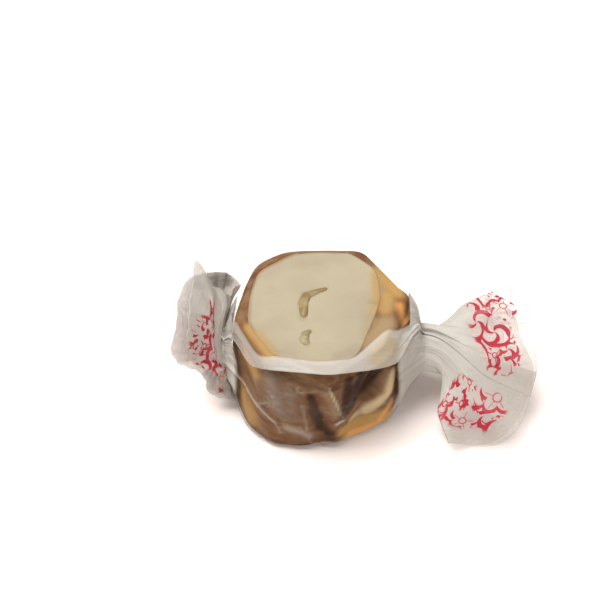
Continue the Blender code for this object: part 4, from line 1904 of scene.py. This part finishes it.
    def body_veil(self, places: Values, stand: Values, turned: Values) -> tuple[Values, Values]:
        """Weigh how white the paper is between the necks.

        Args:
            places: one row of metres for each point.
            stand: how far the taut paper stands off the candy.
            turned: turns from the loose edge.

        Returns:
            The paper's opacity and its stain at each point.
        """
        off = smooth((stand / MM - self.white_start) / self.white_run)
        # The band along the front rim is thinner at its left end and doubled at its right one
        x = places[:, 0] / MM
        strength = 0.84 - 0.3 * smooth((-x - 5) / 6) + 0.13 * smooth((x - 6) / 4)
        band = self.band_share(places, turned) * strength
        hazy = painted(self.hazes() + self.creases(width=0.3), unrolled(places))
        share = np.maximum(np.maximum(off, band), hazy)
        stain = painted(face_strokes((8.2, -9.2, 16.0, 10.2, -6.4, 16.0, 1.7, 0.75)), places)
        return self.clear + (self.white - self.clear) * share - 0.2 * stain * share, stain

    def hazes(self) -> tuple[Stroke, ...]:
        """Place the hazy patches of the unrolled side, where the paper hardly clings.

        Returns:
            The strokes.
        """
        return side_strokes(
            (-124, 13.4, -116, 8.6, 2.2, 0.36),
            (-112, 12.6, -108, 8.4, 1.9, 0.30),
            (-110, 5.4, -97, 4.3, 1.0, 0.45),
            (8, 12.0, -30, 4.6, 1.5, 0.6),
            (-12, 6.0, -37, 3.4, 0.35, 0.9),
            (-1, 8.0, -31, 6.4, 0.3, 0.9),
            (-80, 6.6, -76, 6.9, 0.4, 0.6),
            (-88, 2.5, -81, 1.9, 0.35, 0.5),
            (70, 12.5, 50, 7.0, 1.8, 0.3),
            (138, 6.0, 118, 2.6, 1.6, 0.3),
            (100, 13.4, 114, 10.5, 1.2, 0.25),
        )

    def creases(self, width: float, share: float = 1.0) -> tuple[Stroke, ...]:
        """Place the sharp creases of the unrolled side.

        Args:
            width: their width in millimetres.
            share: what their strength is multiplied by.

        Returns:
            The strokes.
        """
        rows = (
            (-172, 9.5, -144, 9.4, 0.5),
            (-144, 9.4, -118, 6.2, 0.6),
            (-118, 6.2, -114, 4.4, 0.4),
            (-132, 7.7, -110, 12.2, 0.4),
            (-110, 12.2, -92, 14.0, 0.3),
            (-104, 13.8, -110, 10.2, 0.35),
            (-110, 10.2, -113, 6.2, 0.3),
            (-131, 12.4, -103, 8.2, 0.25),
            (-101, 10.4, -96, 2.7, 0.4),
            (-160, 2.2, -128, 1.0, 0.4),
            (-86, 15.0, -79, 9.0, 0.3),
            (-81, 12.6, -76, 7.8, 0.3),
            (-64, 7.4, -40, 6.2, 0.25),
            (48, 14.6, 84, 8.0, 0.35),
            (84, 8.0, 76, 1.6, 0.3),
            (22, 9.0, 66, 3.5, 0.3),
            (62, 12.0, 87, 13.4, 0.25),
            (128, 14.0, 100, 9.5, 0.35),
            (152, 11.0, 118, 4.0, 0.35),
            (94, 6.5, 126, 8.6, 0.25),
            (98, 2.0, 112, 5.4, 0.3),
        )
        return side_strokes(*((*row[:4], width, share * row[4]) for row in rows))

    def fan_veil(self, fan: Fan, share: Values) -> Values:
        """Weigh how white a fan is, clearest at its open edge."""
        neck, edge = fan.white
        return neck + (edge - neck) * smooth((share - 0.35) / 0.65)

    def wrinkles(self, places: Values, x: Values, turned: Values, stand: Values) -> Values:
        """Raise the paper along its creases between the necks.

        Args:
            places: one row of metres for each point.
            x: places along the axis.
            turned: turns from the loose edge.
            stand: how far the taut paper stands off the candy.

        Returns:
            How far each point is raised.
        """
        crumpled = self.crumple(x, turned * 12 * MM, self.seed + 40, 5.5 * MM, folds=5)
        neck = np.where(x > 0, self.right.neck, self.left.neck)
        fade = smooth((neck - np.abs(x)) / (3 * MM))
        depth = self.crease_depth + self.loose_depth * smooth(stand / (1.5 * MM))
        ridges = painted(self.creases(width=0.45, share=0.7), unrolled(places))
        band = self.band_depth * self.band_share(places, turned)
        return (crumpled * depth * fade + self.raised + ridges + band) * MM


@dataclass(frozen=True)
class Studio:
    """A pale floor, soft light and the camera."""

    floor_size: float = 4.0
    floor_white: Colour = (0.92, 0.83, 0.78, 1)
    floor_glow: float = 0.05
    world_white: float = 0.36
    # Name, place, side and power of each soft light
    lights: tuple[tuple[str, Place, float, float], ...] = (
        ("key_light", (-0.16, 0.05, 0.55), 0.4, 5.1),
        ("front_light", (0.32, -0.4, 0.33), 0.35, 0.8),
    )
    camera_place: Place = (-0.00299, -0.23739, 0.27340)
    camera_tilt: float = 43.0  # from straight down, in degrees
    lens: float = 140.49
    sensor: float = 36
    nearest: float = 0.01

    def build(self) -> None:
        """Set the stage."""
        scene = bpy.context.scene
        scene.view_settings.view_transform = "Standard"
        scene.cycles.transparent_max_bounces = 48
        bpy.ops.mesh.primitive_plane_add(size=self.floor_size, location=(0, 0, 0))
        floor = bpy.context.object
        floor.name = "studio_floor"
        plain = {"Base_Color": self.floor_white, "Emission_Color": (1, 0.97, 0.95, 1), "Roughness": 0.9}
        made, _, _ = new_material("studio floor", Emission_Strength=self.floor_glow, **plain)
        floor.data.materials.append(made)

        world = bpy.data.worlds.new("studio")
        world.use_nodes = True
        background = world.node_tree.nodes["Background"].inputs
        background["Color"].default_value = (1, 0.995, 0.985, 1)
        background["Strength"].default_value = self.world_white
        scene.world = world
        for light in self.lights:
            self.softbox(*light)

        camera = bpy.data.cameras.new("camera")
        camera.lens = self.lens
        camera.sensor_width = self.sensor
        camera.clip_start = self.nearest
        holder = bpy.data.objects.new("camera", camera)
        holder.location = self.camera_place
        holder.rotation_euler = (math.radians(self.camera_tilt), 0, 0)
        scene.collection.objects.link(holder)
        scene.camera = holder

    def softbox(self, name: str, place: Place, size: float, power: float) -> None:
        """Hang a square soft light that faces the origin.

        Args:
            name: its name.
            place: where it hangs.
            size: its side.
            power: its power.
        """
        light = bpy.data.lights.new(name, "AREA")
        light.shape = "SQUARE"
        light.size = size
        light.energy = power
        holder = bpy.data.objects.new(name, light)
        holder.location = place
        holder.rotation_euler = (-Vector(place)).to_track_quat("-Z", "Y").to_euler()
        bpy.context.scene.collection.objects.link(holder)


def mount(piece: Piece, node: str) -> None:
    """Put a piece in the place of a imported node.

    Args:
        piece: the new piece.
        node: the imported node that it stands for.
    """
    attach(piece, "root")
    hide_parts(node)
    LOG.info("%s stands for %s: %d faces", piece.name, node, len(piece.data.polygons))


def main() -> None:
    """Build the candy, its wrapper and the studio."""
    logging.basicConfig(level=logging.INFO, format="%(name)s: %(message)s")
    fibres, crinkles, sprigs = fibre_group(), crinkle_group(), sprig_group()
    candy = Candy()
    amber = StreakFinish("amber streak", (0.235, 0.168, 0.066, 1), (0.30, 0.235, 0.110, 1)).make()
    olive = StreakFinish("olive streak", (0.29, 0.228, 0.118, 1), (0.34, 0.282, 0.158, 1)).make()
    mount(candy.build_core(CreamFinish().make(fibres)), "cream_core")
    mount(candy.build_jacket(CaramelFinish().make(fibres, crinkles)), "caramel_jacket")
    mount(candy.build_streak("hook_streak", candy.hook, amber), "streak_hook")
    mount(candy.build_streak("crescent_streak", candy.crescent, olive), "streak_crescent")
    paper = PaperFinish()
    plain = paper.make("waxed paper", crinkles, None)
    printed = paper.make("printed waxed paper", crinkles, sprigs)
    mount(Wrapper(candy).build(plain, printed), "wax_wrapper")
    Studio().build()


if __name__ == "__main__":
    main()
